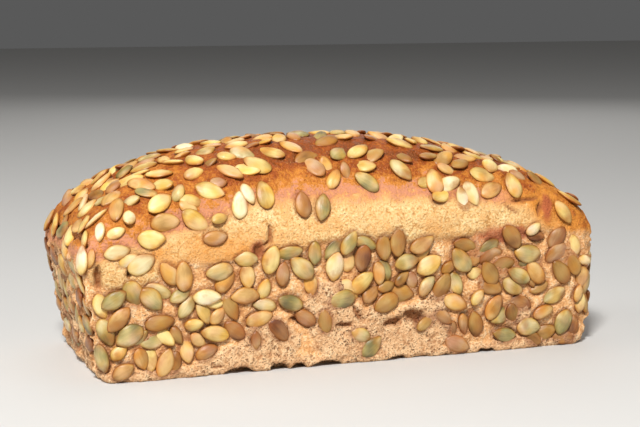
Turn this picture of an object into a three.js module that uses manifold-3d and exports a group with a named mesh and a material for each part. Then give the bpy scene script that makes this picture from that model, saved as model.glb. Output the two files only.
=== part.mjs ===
// Einkorn bread baked in a loaf tin and rolled in pumpkin seeds.
//
// The loaf is one solid: a body of bread, with its larger seeds pressed into the sides and the crust.
// Millimetres. X runs along the loaf, -Y is the side with the bare patches, and Z is up. The origin is the
// middle of the base, on the surface that the loaf stands on.

import * as THREE from 'three';
import { mergeVertices } from 'three/addons/utils/BufferGeometryUtils.js';
import Module from 'manifold-3d';

const { clamp, lerp, smoothstep, degToRad } = THREE.MathUtils;

// ---- Driving dimensions ----------------------------------------------------------------------------

const RIM_LENGTH = 264;
const RIM_WIDTH = 97;
const RIM_HEIGHT = 56;
const CROWN_HEIGHT = 50.5;
const BASE_WIDTH = 96;
const FOOT_RADIUS = 2;

// The two ends differ: the left one slopes more in the tin, and the right one has a rounder foot.
// fall is how early the crown drops towards that end.
const LEFT_END = { base: 122, foot: FOOT_RADIUS, fall: 0.41 };
const RIGHT_END = { base: 130, foot: 9, fall: 0.53 };
const SIDE_FALL = 0.41;

// The powers of the level outlines: high ones are nearly square, low ones are nearly oval.
const TIN_POWERS = { x: 32, y: 13 };
const CROWN_POWERS = { x: 2.8, y: 2.5 };

// Relief, as heights over the plain form.
const BELT_SINK = -1.1;
const BARE_RISE = 0.3;
const SPRING_BULGE = 2.2;
const RELIEF_BLEND = 4;

// Where the seeded belt ends on the long sides: its usual height, then its swells and dips along X.
const BELT_HEIGHT = 57;
const BELT_SWELLS = [
  { at: 0, reach: 22, rise: 4 },
  { at: 90, reach: 18, rise: 2 },
  { at: -66, reach: 12, rise: -4 },
  { at: -112, reach: 24, rise: -14 },
];
const END_BELT_HEIGHT = 55;

// The smooth band that rose out of the tin, and where the browned crust over it begins.
const BAND_TOP = 84;
const BAND_FALL = 20;
const END_BAND_TOP = 64;
const SPRING = { at: 38, reach: 50, height: 71, rise: 11 };

// Bare patches of crumb, which left their seeds in the tin: centre and half size, on a long side or an end.
const FRONT_PATCHES = [
  { at: -58, height: 6, wide: 20, high: 7 },
  { at: -42, height: 13, wide: 15, high: 13 },
  { at: -14, height: 31, wide: 12, high: 10 },
  { at: 0, height: 14, wide: 24, high: 14 },
  { at: 34, height: 15, wide: 19, high: 13 },
  { at: 46, height: 28, wide: 8, high: 7 },
  { at: 87, height: 17, wide: 7, high: 8 },
];
const BACK_PATCHES = [
  { at: 62, height: 12, wide: 22, high: 12 },
  { at: 10, height: 20, wide: 17, high: 11 },
  { at: -48, height: 9, wide: 24, high: 9 },
];
const END_PATCHES = [{ at: 12, height: 14, wide: 14, high: 10 }];

// Seeds: kernels of 10 to 14 mm, tried from the largest down.
const LONGEST_SEED = 14.4;
const SHORTEST_SEED = 9.8;
const SEED_WIDTH_SHARE = 0.57;
const SEED_THICKNESS = 3;
const SEED_TRIES = 5200;
const SEEDS_KEPT = 204;
const DRAW_START = 2718;
const SEED_SIDES = 6;
const POINTED_END = 0.2;

// How far the seeds' faces stand over the plain form, and how closely they lie.
const BELT_PROUD = 1.1;
const CROWN_PROUD = 1.7;
const BELT_SPACING = 0.86;
const CROWN_SPACING = 1.3;
const SPACING_DISC = 0.27;
const BARE_COVER = 0.03;
const CROWN_COVER = 0.6;
const BAND_COVER = 0.05;
const LEFT_BAND_COVER = 0.45;
const LEFT_BAND_END = -50;
const FLATNESS = 0.93;
const BELT_TILT = 5;
const CROWN_TILT = 9;

// Seeds whose places are known, on the front: along X, height, turn in degrees and length.
const PLACED_SEEDS = [
  { at: -115, height: 61, turn: 8, length: 12.5 },
  { at: -104, height: 55, turn: 24, length: 13.5 },
  { at: -99, height: 66, turn: -6, length: 13.6 },
  { at: -69, height: 65, turn: 2, length: 12.2 },
  { at: -56, height: 79, turn: 82, length: 13.2 },
  { at: -43, height: 83, turn: 96, length: 14.4 },
  { at: -25, height: 78, turn: 92, length: 13.2 },
  { at: -84, height: 48, turn: 94, length: 14.4 },
  { at: -42, height: 53, turn: 78, length: 14 },
  { at: -36, height: 46, turn: 86, length: 12 },
  { at: -3, height: 59, turn: 58, length: 13.6 },
  { at: 22, height: 58, turn: 92, length: 14.4 },
  { at: 62, height: 79, turn: -68, length: 13.2 },
  { at: 73, height: 80, turn: 22, length: 13 },
  { at: 112, height: 68, turn: -60, length: 13.6 },
  { at: -15, height: 22, turn: 96, length: 12.8 },
  { at: 3, height: 14, turn: 160, length: 11.4 },
  { at: 9, height: 7.5, turn: 42, length: 13 },
];

// How finely the body is divided, and how much of that gathers at its corners.
const DIVISIONS = { x: 20, y: 8, z: 10 };
const GATHERING = 0.5;
const HALVINGS = 26;
const HEART_HEIGHT = 45;
const MARGIN = 1.02;
const UNDER_BASE = 3;

const BREAD = { color: 0xc98f52, roughness: 0.8, metalness: 0 };

const LOAF_HEIGHT = RIM_HEIGHT + CROWN_HEIGHT;
const BOX = { x: (MARGIN * RIM_LENGTH) / 2, y: (MARGIN * RIM_WIDTH) / 2 };
const BOX_HEIGHT = LOAF_HEIGHT + UNDER_BASE;
const SPINE_SHARE = (RIM_LENGTH - RIM_WIDTH) / 2 / BOX.x;

// ---- The plain form --------------------------------------------------------------------------------

// How far a rounded foot draws the outline in at a height.
function footInset(height, radius) {
  const below = clamp(radius - height, 0, radius);
  return radius - Math.sqrt(radius * radius - below * below);
}

// The level outline at a height: its half length on the given side, half width and powers.
function outlineAt(height, side) {
  const end = side < 0 ? LEFT_END : RIGHT_END;
  const inTin = clamp(height / RIM_HEIGHT, 0, 1);
  const inCrown = clamp((height - RIM_HEIGHT) / CROWN_HEIGHT, 0, 0.9999);
  const narrowing = 1 - inCrown ** 2;
  const squareness = (1 - inCrown) ** 2;
  return {
    long: (lerp(end.base, RIM_LENGTH / 2, inTin) - footInset(height, end.foot)) * narrowing ** end.fall,
    wide: (lerp(BASE_WIDTH, RIM_WIDTH, inTin) / 2 - footInset(height, FOOT_RADIUS)) * narrowing ** SIDE_FALL,
    xPower: lerp(CROWN_POWERS.x, TIN_POWERS.x, squareness),
    yPower: lerp(CROWN_POWERS.y, TIN_POWERS.y, squareness),
  };
}

// Below 0 inside the plain form, and above 0 outside it.
function outsideness(point) {
  const outline = outlineAt(point.z, point.x);
  const along = (Math.abs(point.x) / outline.long) ** outline.xPower;
  const across = (Math.abs(point.y) / outline.wide) ** outline.yPower;
  return along + across - 1;
}

// The point of the plain form that a ray from the loaf's heart to a target outside it passes.
function ontoForm(target) {
  const heart = new THREE.Vector3(target.x * SPINE_SHARE, 0, HEART_HEIGHT);
  const point = new THREE.Vector3();
  let inner = 0;
  let outer = 1;
  for (let i = 0; i < HALVINGS; i += 1) {
    const middle = (inner + outer) / 2;
    if (outsideness(point.lerpVectors(heart, target, middle)) < 0) inner = middle;
    else outer = middle;
  }
  point.lerpVectors(heart, target, inner);
  point.z = Math.max(point.z, 0);
  return point;
}

// The point of the front face at a place along the loaf and a height.
function frontAt(x, height) {
  const outline = outlineAt(height, x);
  const left = 1 - (Math.abs(x) / outline.long) ** outline.xPower;
  return new THREE.Vector3(x, -outline.wide * left ** (1 / outline.yPower), height);
}

// The direction that faces out of the plain form.
function outwardAt(point) {
  const step = 0.5;
  const slope = (axis) => {
    const ahead = point.clone();
    const behind = point.clone();
    ahead[axis] += step;
    behind[axis] -= step;
    return outsideness(ahead) - outsideness(behind);
  };
  return new THREE.Vector3(slope('x'), slope('y'), slope('z') + 1e-9).normalize();
}

// ---- Zones of the crust ----------------------------------------------------------------------------

// A swell of height 1 at a place, which fades over its reach.
function swell(value, at, reach) {
  return Math.exp(-(((value - at) / reach) ** 2));
}

// 1 on the two ends and 0 on the long sides.
function endShare(point, outward) {
  return smoothstep(Math.abs(outward.x) - Math.abs(outward.y), -0.3, 0.3);
}

function beltTop(point, onEnd) {
  const side = BELT_SWELLS.reduce(
    (height, { at, reach, rise }) => height + rise * swell(point.x * -Math.sign(point.y), at, reach),
    BELT_HEIGHT,
  );
  return lerp(side, END_BELT_HEIGHT, onEnd);
}

function bandTop(point, onEnd) {
  const side = BAND_TOP - BAND_FALL * (point.x / (RIM_LENGTH / 2)) ** 2;
  return lerp(side, END_BAND_TOP, onEnd);
}

// True where the seeds stayed in the tin and the crumb lies bare.
function isBare(point, onEnd) {
  const along = onEnd > 0.5 ? point.y * Math.sign(point.x) : point.x;
  const sidePatches = point.y < 0 ? FRONT_PATCHES : BACK_PATCHES;
  const patches = onEnd > 0.5 ? END_PATCHES : sidePatches;
  return patches.some(({ at, height, wide, high }) => (
    ((along - at) / wide) ** 2 + ((point.z - height) / high) ** 2 < 1
  ));
}

// How far the bread stands over or under its plain form.
function reliefAt(point, outward) {
  const onEnd = endShare(point, outward);
  const top = beltTop(point, onEnd);
  const inBelt = 1 - smoothstep(point.z, top - RELIEF_BLEND, top + RELIEF_BLEND);
  const belt = isBare(point, onEnd) ? BARE_RISE : BELT_SINK;
  const spring = swell(point.z, SPRING.height, SPRING.rise) * swell(Math.abs(point.x - SPRING.at), 0, SPRING.reach);
  return belt * inBelt + SPRING_BULGE * spring * (1 - onEnd) * (1 - inBelt);
}

// ---- Body of the bread -----------------------------------------------------------------------------

// Moves even divisions of -1 to 1 towards both ends.
function gather(share) {
  return lerp(share, Math.sin((share * Math.PI) / 2), GATHERING);
}

function makeBody() {
  const body = new THREE.BoxGeometry(2, 2, 2, DIVISIONS.x, DIVISIONS.y, DIVISIONS.z);
  const places = body.getAttribute('position');
  for (let i = 0; i < places.count; i += 1) {
    const target = new THREE.Vector3(
      gather(places.getX(i)) * BOX.x,
      gather(places.getY(i)) * BOX.y,
      ((gather(places.getZ(i)) + 1) / 2) * BOX_HEIGHT - UNDER_BASE,
    );
    const point = ontoForm(target);
    const outward = outwardAt(point);
    if (point.z > 0) point.addScaledVector(outward, reliefAt(point, outward));
    places.setXYZ(i, point.x, point.y, Math.max(point.z, 0));
  }
  return body;
}

// ---- Seeds -----------------------------------------------------------------------------------------

// Repeatable draws from 0 to 1.
function drawsFrom(start) {
  let state = start;
  return () => {
    state = (state + 0x6d2b79f5) >>> 0;
    let mixed = Math.imul(state ^ (state >>> 15), state | 1);
    mixed ^= mixed + Math.imul(mixed ^ (mixed >>> 7), mixed | 61);
    return ((mixed ^ (mixed >>> 14)) >>> 0) / 2 ** 32;
  };
}

// A target on the box round the loaf, even over its four sides and its top.
function drawTarget(face, along, up) {
  const wall = (BOX.x + BOX.y) * BOX_HEIGHT;
  const share = face * (wall + 2 * BOX.x * BOX.y);
  const x = lerp(-BOX.x, BOX.x, along);
  const y = lerp(-BOX.y, BOX.y, along);
  const z = lerp(-UNDER_BASE, LOAF_HEIGHT, up);
  if (share < BOX.x * BOX_HEIGHT) {
    return new THREE.Vector3(x, share * 2 < BOX.x * BOX_HEIGHT ? -BOX.y : BOX.y, z);
  }
  if (share < wall) {
    return new THREE.Vector3((share - BOX.x * BOX_HEIGHT) * 2 < BOX.y * BOX_HEIGHT ? -BOX.x : BOX.x, y, z);
  }
  return new THREE.Vector3(x, lerp(-BOX.y, BOX.y, up), LOAF_HEIGHT);
}

// A seed's directions: along it, across it and out of it.
function seedFrame(outward, turn) {
  const level = Math.abs(outward.z) < 0.9 ? new THREE.Vector3(-outward.y, outward.x, 0) : new THREE.Vector3(1, 0, 0);
  const rising = new THREE.Vector3().crossVectors(outward, level).normalize();
  level.crossVectors(rising, outward);
  const along = level.multiplyScalar(Math.cos(turn)).addScaledVector(rising, Math.sin(turn));
  return { along, across: new THREE.Vector3().crossVectors(outward, along), out: outward };
}

// The three discs that stand for a seed when its room is measured.
function seedDiscs(seed) {
  return [-1, 0, 1].map((place) => (
    seed.point.clone().addScaledVector(seed.frame.along, place * seed.length * SPACING_DISC * 0.85)
  ));
}

function hasRoom(seed, placed) {
  return placed.every((other) => {
    const reach = SPACING_DISC * (seed.length + other.length) * Math.min(seed.spacing, other.spacing);
    if (seed.point.distanceTo(other.point) > seed.length + other.length) return true;
    return seed.discs.every((disc) => other.discs.every((next) => disc.distanceTo(next) > reach));
  });
}

// A seed would stand off the bread where the bread turns away under its tips.
function liesFlat(seed) {
  return [-0.45, 0.45].every((place) => {
    const tip = seed.point.clone().addScaledVector(seed.frame.along, place * seed.length);
    return tip.z > 0 && outwardAt(tip).dot(seed.frame.out) > FLATNESS;
  });
}

// How many of the seeds that are tried at a place stay on it.
function coverAt(point, onEnd) {
  if (point.z > bandTop(point, onEnd)) return CROWN_COVER;
  if (point.z > beltTop(point, onEnd)) return point.x < LEFT_BAND_END ? LEFT_BAND_COVER : BAND_COVER;
  return isBare(point, onEnd) ? BARE_COVER : 1;
}

function makeSeed(point, length, turn, tilts) {
  const outward = outwardAt(point);
  const onEnd = endShare(point, outward);
  const crown = smoothstep(point.z - beltTop(point, onEnd), 0, 12);
  const seed = { point, length, crown, frame: seedFrame(outward, turn), tilts };
  seed.spacing = lerp(BELT_SPACING, CROWN_SPACING, smoothstep(point.z - bandTop(point, onEnd), -14, 0));
  seed.cover = coverAt(point, onEnd);
  seed.discs = seedDiscs(seed);
  return seed;
}

function staysOverBase(seed) {
  const { along, across } = seed.frame;
  const drop = Math.hypot(along.z * seed.length, across.z * seed.length * SEED_WIDTH_SHARE) / 2;
  return seed.point.z > drop + 0.4;
}

// Places the known seeds first, then tries smaller and smaller ones wherever there is room.
function placeSeeds(most) {
  const draw = drawsFrom(DRAW_START);
  const placed = PLACED_SEEDS.map(({ at, height, turn, length }) => (
    makeSeed(frontAt(at, height), length, degToRad(turn), [0, 0])
  ));
  for (let i = 0; i < SEED_TRIES && placed.length < most; i += 1) {
    const [face, along, up, turn, size, keep, tip, lean] = Array.from({ length: 8 }, draw);
    const length = lerp(LONGEST_SEED, SHORTEST_SEED, clamp(i / SEED_TRIES + 0.16 * (size - 0.5), 0, 1));
    const tilts = [2 * tip - 1, 2 * lean - 1];
    const seed = makeSeed(ontoForm(drawTarget(face, along, up)), length, 2 * Math.PI * turn, tilts);
    if (keep < seed.cover && staysOverBase(seed) && hasRoom(seed, placed) && liesFlat(seed)) placed.push(seed);
  }
  return placed;
}

// One seed: a pointed lens, turned on the lathe and then drawn out, whose underside is buried in the bread.
function shapeSeed(seed) {
  const profile = [[0, -0.5], [1, 0], [0.6, 0.4], [0, 0.5]].map(([r, h]) => new THREE.Vector2(r, h));
  const kernel = new THREE.LatheGeometry(profile, SEED_SIDES, Math.PI / 2);
  const widest = Math.cos(Math.PI / SEED_SIDES);
  const places = kernel.getAttribute('position');
  for (let i = 0; i < places.count; i += 1) {
    const x = places.getX(i);
    places.setXYZ(
      i,
      (x * seed.length) / 2,
      places.getY(i) * SEED_THICKNESS,
      ((places.getZ(i) / widest) * (1 - POINTED_END * x) * seed.length * SEED_WIDTH_SHARE) / 2,
    );
  }
  const { along, across, out } = seed.frame;
  const proud = lerp(BELT_PROUD, CROWN_PROUD, seed.crown) - SEED_THICKNESS / 2;
  const tilt = degToRad(lerp(BELT_TILT, CROWN_TILT, seed.crown));
  kernel.rotateX(seed.tilts[0] * tilt);
  kernel.rotateZ(seed.tilts[1] * tilt);
  kernel.applyMatrix4(new THREE.Matrix4().makeBasis(along, out, across.clone().negate()));
  const centre = seed.point.clone().addScaledVector(out, proud);
  return kernel.translate(centre.x, centre.y, centre.z);
}

// ---- Joining ---------------------------------------------------------------------------------------

const wasm = await Module();
wasm.setup();

// A closed geometry as a solid, without the flat triangles that a lathe leaves at its poles.
function toSolid(geometry) {
  geometry.deleteAttribute('normal');
  geometry.deleteAttribute('uv');
  const merged = mergeVertices(geometry, 1e-4);
  const corners = merged.index.array;
  const kept = [];
  for (let i = 0; i < corners.length; i += 3) {
    const [a, b, c] = [corners[i], corners[i + 1], corners[i + 2]];
    if (a !== b && b !== c && c !== a) kept.push(a, b, c);
  }
  return new wasm.Manifold(new wasm.Mesh({
    numProp: 3,
    vertProperties: merged.getAttribute('position').array,
    triVerts: Uint32Array.from(kept),
  }));
}

// Joins the solids and keeps the outer body: hollows that the joining sealed are filled by leaving them out.
function joinSolids(solids) {
  const joined = solids.reduce((whole, next) => whole.add(next));
  const bodies = joined.decompose();
  return bodies.reduce((largest, next) => (next.volume() > largest.volume() ? next : largest));
}

function toGeometry(solid) {
  const { vertProperties, triVerts } = solid.getMesh();
  const geometry = new THREE.BufferGeometry();
  geometry.setAttribute('position', new THREE.BufferAttribute(vertProperties, 3));
  geometry.setIndex(new THREE.BufferAttribute(triVerts, 1));
  geometry.computeVertexNormals();
  return geometry;
}

// ---- The part --------------------------------------------------------------------------------------

function makeLoaf() {
  const solids = [makeBody(), ...placeSeeds(SEEDS_KEPT).map(shapeSeed)].map(toSolid);
  const loaf = new THREE.Mesh(toGeometry(joinSolids(solids)), new THREE.MeshStandardMaterial(BREAD));
  loaf.name = 'loaf';
  return loaf;
}

const bread = new THREE.Group();
bread.add(makeLoaf());

export default bread;
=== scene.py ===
"""Einkorn bread baked in a loaf tin and rolled in pumpkin kernels: its crust, its kernels and a studio.

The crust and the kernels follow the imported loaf: the same plain form and the same rule for the kernels'
places. X runs along the loaf, -Y is the front, with the bare patches, and Z is up. Lengths are in metres.
"""

import itertools
import math
from functools import lru_cache

import bpy
import numpy as np
from bpy.props import FloatProperty, FloatVectorProperty, IntProperty, PointerProperty
from bpy.types import Operator, Panel, PropertyGroup
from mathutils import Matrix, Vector


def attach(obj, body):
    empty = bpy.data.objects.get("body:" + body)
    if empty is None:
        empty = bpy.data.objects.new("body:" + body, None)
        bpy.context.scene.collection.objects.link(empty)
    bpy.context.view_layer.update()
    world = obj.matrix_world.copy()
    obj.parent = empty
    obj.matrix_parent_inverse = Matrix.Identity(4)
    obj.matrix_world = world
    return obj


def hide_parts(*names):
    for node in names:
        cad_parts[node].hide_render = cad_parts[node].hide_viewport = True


bl_info = {
    "name": "Seeded Tin Loaf",
    "version": (1, 0, 0),
    "blender": (4, 5, 0),
    "location": "3D View > Sidebar > Loaf",
    "description": "Builds the crust and the kernels of a seeded tin loaf",
    "category": "Mesh",
}

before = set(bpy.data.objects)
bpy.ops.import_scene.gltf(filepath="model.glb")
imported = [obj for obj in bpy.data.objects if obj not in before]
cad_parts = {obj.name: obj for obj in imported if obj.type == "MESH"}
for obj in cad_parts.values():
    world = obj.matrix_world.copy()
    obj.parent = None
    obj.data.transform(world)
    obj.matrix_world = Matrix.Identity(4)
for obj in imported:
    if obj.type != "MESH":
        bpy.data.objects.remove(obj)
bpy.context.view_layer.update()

MM = 0.001

# ---- The plain form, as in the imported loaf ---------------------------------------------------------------

BASE_WIDTH = 96 * MM
FOOT_RADIUS = 2 * MM
# Each end: its reach at the base, the radius of its foot, and how fast its length falls up the crown.
LEFT_END = {"base": 122 * MM, "foot": FOOT_RADIUS, "fall": 0.41}
RIGHT_END = {"base": 130 * MM, "foot": 9 * MM, "fall": 0.53}
SIDE_FALL = 0.41
# How square the level outline is along X and along Y, in the tin and at the top of the crown.
TIN_POWERS = (32, 13)
CROWN_POWERS = (2.8, 2.5)
# The form is found by rays: from a box that is a little larger than the loaf and starts under its base, in
# to a line at its heart. Each ray is halved this often. The step is the distance that a slope is taken over.
HEART_HEIGHT = 45 * MM
MARGIN = 1.02
UNDER_BASE = 3 * MM
HALVINGS = 26
SLOPE_STEP = 0.5 * MM

# ---- Zones and relief of the crust -----------------------------------------------------------------------

# How far the ends and the long sides mix round a corner.
CORNER_MIX = 0.3

# Where the seeded belt ends on the long sides: its usual height, then swells as place, reach and rise.
BELT_HEIGHT = 57 * MM
BELT_SWELLS = ((0, 22, 4), (90, 18, 2), (-66, 12, -4), (-112, 24, -14))
END_BELT_HEIGHT = 55 * MM
BAND_TOP = 84 * MM
BAND_FALL = 20 * MM
END_BAND_TOP = 64 * MM

# Towards both ends the crust browned further down, but less: where this starts and is full along X, how far
# down it reaches, and how much of the browning stays.
BROWNED_LOWER = ((-45, -85, 7, 0.8), (86, 108, 15, 0.66))

# Beyond this place along X the crust turns golden over the band, and no longer rosy.
ROSY_END = 80 * MM

# Bare patches of crumb, in millimetres: place along the side, height, half width and half height.
FRONT_PATCHES = (
    (-58, 6, 20, 7),
    (-42, 13, 15, 13),
    (-14, 31, 12, 10),
    (0, 14, 24, 14),
    (34, 15, 19, 13),
    (46, 28, 8, 7),
    (87, 17, 7, 8),
)
BACK_PATCHES = ((62, 12, 22, 12), (10, 20, 17, 11), (-48, 9, 24, 9))
END_PATCHES = ((12, 14, 14, 10),)

# Crumb that tore away with the tin between the kernels of the -X end: place across it, height, half sizes.
END_CRUMB = (14, 34, 24, 26)

# On the ends the crumb is shaggy: how much of the usual sinking between the kernels it keeps, how rough it
# is, and the height, width and depth of the crack where the crown broke away from it.
END_SINK = 0.3
END_ROUGHNESS = 3.2 * MM
END_CRACK = 65 * MM
END_CRACK_WIDTH = 1.2 * MM
END_CRACK_DEPTH = 2.2 * MM

# Tears of the front: place, height, half length, half height, turn in degrees and depth, in millimetres.
TEARS = (
    (32, 20.5, 5.4, 3.2, -20, 4),
    (20, 18.5, 4.6, 2.2, 12, 3.2),
    (2, 24, 4.6, 1.3, -60, 2.4),
    (-5, 19.5, 4.6, 1.2, -8, 2.4),
    (-28, 23, 5, 1.2, -20, 2.4),
    (-42, 66, 1.0, 5, 4, 2),
    (-44, 61, 3.2, 0.9, 30, 2),
    (-48, 58, 2.2, 3.0, 10, 2.5),
    (97, 57, 3.2, 2.6, 20, 4),
    (-124, 49, 1.8, 6, 0, 4),
    (-109, 52, 1.3, 3.6, -20, 4),
    (83, 71, 4, 0.8, -35, 1.2),
    (92, 75, 7.5, 1.0, 4, 1.8),
    (99, 70.5, 1.0, 4.5, -14, 1.8),
    (-57, 0, 6, 2.6, 0, 4),
    (-38, 0, 4, 3.0, 0, 5),
    (-28, 0, 3, 2.4, 0, 5),
    (-13, 0, 7, 2.2, 0, 5),
    (22, 0, 5, 1.4, 0, 3),
    (70, 0, 4, 1.2, 0, 3),
)
# The front's own tears and spots lie before this place across the loaf.
FRONT_BEFORE = -42 * MM

# Where one kind of crust fades into the next, from and to: the belt, above its top, the browning, above the
# band's, the crumb at the foot, in height, the rosy crust, along X from its end, the bare patches, by their
# bareness, and the tears and spots, by how far out they reach.
BELT_FADE = (-2 * MM, 3 * MM)
BROWNED_FADE = (-12 * MM, 16 * MM)
FOOT_FADE = (6 * MM, 4 * MM)
ROSY_FADE = (12 * MM, -8 * MM)
BARE_FADE = (0.98, 1.06)
TEAR_FADE, RUDDY_FADE, TOASTED_FADE = (1.25, 0.7), (1.2, 0.6), (1.3, 0.3)

# Ruddy spots of skin over the belt: place, height, half length and half height, in millimetres.
RUDDY_SPOTS = ((80, 58.5, 17, 5.5), (-48, 58, 4, 5), (103.5, 71, 3.5, 8.5))

# The band is toasted golden round this place over the belt: place, height, half length and half height.
TOASTED_SPOT = (-66, 55, 34, 13)

# Where the band sprang out of the tin furthest: height and place along X, each with its reach.
SPRING_HEIGHT, SPRING_RISE = 71 * MM, 11 * MM
SPRING_PLACE, SPRING_REACH = 38 * MM, 50 * MM

# How far from a kernel's outline the dough around it is affected, the groove round it, and the painted
# contact shade on the dough.
CONTACT_LIMIT = 4 * MM
GROOVE_WIDTH, GROOVE_DEPTH = 1.4 * MM, 0.35 * MM
CONTACT_SHADE_WIDTH = 1.1 * MM

# From the middle of the belt to its right end more and more of the dough stands up in islands, which sink by
# this much only.
ISLAND_LOW = 0.2 * MM
ISLANDS_FROM, ISLANDS_FULL = 0, 60 * MM

# The bare crumb's pits, as size, start and how high the noise has to rise, and its layers, as size and
# start. Then the depths of the pits, and of the layers' steps and cracks.
PITS = ((3.2 * MM, 14, 0.6), (2 * MM, 15, 0.62))
LAYERS = (8 * MM, 17)
CRACKED_LAYERS = (12 * MM, 18)
PIT_DEPTH = 1.0 * MM
LAYER_STEP = 0.9 * MM
LAYER_CRACK = 0.6 * MM

# The lower edge is worn away in places, up to this height and depth.
WORN_HEIGHT, WORN_DEPTH = 2.5 * MM, 0.8 * MM

# Uneven edges, as sums of smooth noise: how far each noise reaches, its lumps' size in millimetres and its
# start. The reach is in millimetres for the edges of the belt, the browning, the foot and the crack, and a
# share otherwise.
BELT_EDGE = ((2.2, 9, 1), (1.2, 3.5, 2))
BARE_EDGE = ((0.16, 7, 3), (0.09, 2.6, 4))
BROWNED_EDGE = ((3.5, 22, 5), (2, 6, 6))
FOOT_EDGE = ((1.5, 6, 7),)
TORN_END_EDGE = ((0.3, 8, 8), (0.2, 3, 9))
TEAR_EDGE = ((0.3, 2.5, 21),)
WORN_PLACES = ((1, 5, 22),)
TOASTED_EDGE = ((0.35, 9, 25),)
SHAGGY = ((0.6, 5.5, 26), (0.4, 2.6, 27))
CRACK_EDGE = ((2, 12, 28), (0.8, 3, 29))
CRACKED_PLACES = ((1, 18, 30),)

# The crust's lumps, from fine to widest: size in millimetres and start. Then how high they stand on each
# kind of crust, in millimetres, in the same order.
LUMPS = ((1.9, 11), (4, 12), (11, 13), (16, 16))
DOUGH_GRAIN = (0.35, 0, 0, 0)
DOUGH_LUMPS = (0, 0.7, 0.5, 0)
CRUMB_LUMPS = (0.2, 0.2, 0.3, 0)
BAND_LUMPS = (0.16, 0.25, 0.45, 0)
CROWN_LUMPS = (0.32, 0.45, 0, 0.55)

# ---- Kernels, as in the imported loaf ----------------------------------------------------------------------

# How many are tried and how many stay, and where their draws start.
KERNEL_TRIES = 5200
KERNELS_PACKED = 204
DRAW_START = 2718
LENGTH_SCATTER = 0.16
# Width as a share of the length, thickness, and how far the top stands out of the form.
PACKED_WIDTH = 0.57
PACKED_THICKNESS = 3 * MM
BELT_PROUD = 1.1 * MM
CROWN_PROUD = 1.7 * MM
# Room round each kernel: three discs along it, with their radius as a share of its length, times a spacing,
# and their distance as a share of that radius.
SPACING_DISC = 0.27
DISC_SPREAD = 0.85
BELT_SPACING = 0.86
CROWN_SPACING = 1.3
# How far over the belt's top a kernel counts as one of the crown or as over the belt, and under the band's
# top as one with the crown's spacing, from and to.
CROWN_FADE, OVER_FADE, SPACING_FADE = (0, 12 * MM), (-5 * MM, 2 * MM), (-14 * MM, 0)
# How much of each zone the kernels cover.
PACKED_COVERS = {"belt": 1, "bare": 0.03, "band": 0.05, "left_band": 0.45, "crown": 0.6}
LEFT_BAND_END = -50 * MM
# A kernel stays clear of the floor, and lies where the form under its tips faces about the same way as under
# its middle.
FOOT_CLEARANCE = 0.4 * MM
TIP_PLACE = 0.45
FLATNESS = 0.93
BELT_TILT = math.radians(5)
CROWN_TILT = math.radians(9)

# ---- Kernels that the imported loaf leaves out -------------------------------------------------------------

# They lie closer and closer, and are tucked under the others.
EXTRA_START = 4242
EXTRA_TRIES = 22000
EXTRA_COVERS = {"belt": 1, "bare": 0, "band": 0, "left_band": 0.04, "crown": 0.1}
# Their lengths, as shares of the way from the longest kernel to the shortest.
EXTRA_LENGTHS = (0.1, 0.7)
# They lie less level: how many times more they tilt, on the belt and on the crown.
EXTRA_TILTS = (1.6, 2.2)
# The crown's left half is strewn more thickly.
THICK_CROWN_COVER = 0.16
THICK_CROWN_END = 20 * MM
EXTRA_CROWN_SPACING = 1.05
CLOSEST = 0.46
FIRST_CROWDING = 0.25
# Where two kernels overlap, the later one is tucked under the other and leans towards it.
TOUCHING = 0.3
TUCK = 3.2 * MM
DEEPEST_TUCK = 1.8 * MM
CROWN_TUCK = 0.45
LEAN = 0.55
STEEPEST_LEAN = 0.26
PACKED_LEAN = 0.12

# ---- The photograph's view -------------------------------------------------------------------------------

# The camera stands to the left of the front, close to the level of the crown, and is tipped down a little.
CAMERA_TURN = math.radians(-20.1)
CAMERA_RISE = math.radians(9.8)
CAMERA_TIP = math.radians(8.25)
CAMERA_DISTANCE = 0.784
CAMERA_CENTRE_HEIGHT = 0.045
CAMERA_LENS_MM = 87.2
SENSOR_MM = 36
NEAREST_SEEN = 10 * MM
# The photograph's middle and its lens's focal length, in pixels.
PHOTO_MIDDLE = (320, 213.5)
FOCAL_PIXELS = 1550

# ---- Kernels whose places are known ----------------------------------------------------------------------

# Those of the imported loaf, on the front: millimetres along X, height, turn in degrees, length and kind.
PLACED_KERNELS = (
    (-115, 61, 8, 12.5, "cream"),
    (-104, 55, 24, 13.5, "cream"),
    (-99, 66, -6, 13.6, "pale"),
    (-69, 65, 2, 12.2, "brown"),
    (-56, 79, 82, 13.2, "cream"),
    (-43, 83, 96, 14.4, "pale"),
    (-25, 78, 92, 13.2, "brown"),
    (-84, 48, 94, 14.4, "golden"),
    (-42, 53, 78, 14, "pale"),
    (-36, 46, 86, 12, "brown"),
    (-3, 59, 58, 13.6, "green"),
    (22, 58, 92, 14.4, "olive"),
    (62, 79, -68, 13.2, "cream"),
    (73, 80, 22, 13, "golden"),
    (112, 68, -60, 13.6, "pale"),
    (-15, 22, 96, 12.8, "olive"),
    (3, 14, 160, 11.4, "green"),
    (9, 7.5, 42, 13, "green"),
)
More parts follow.
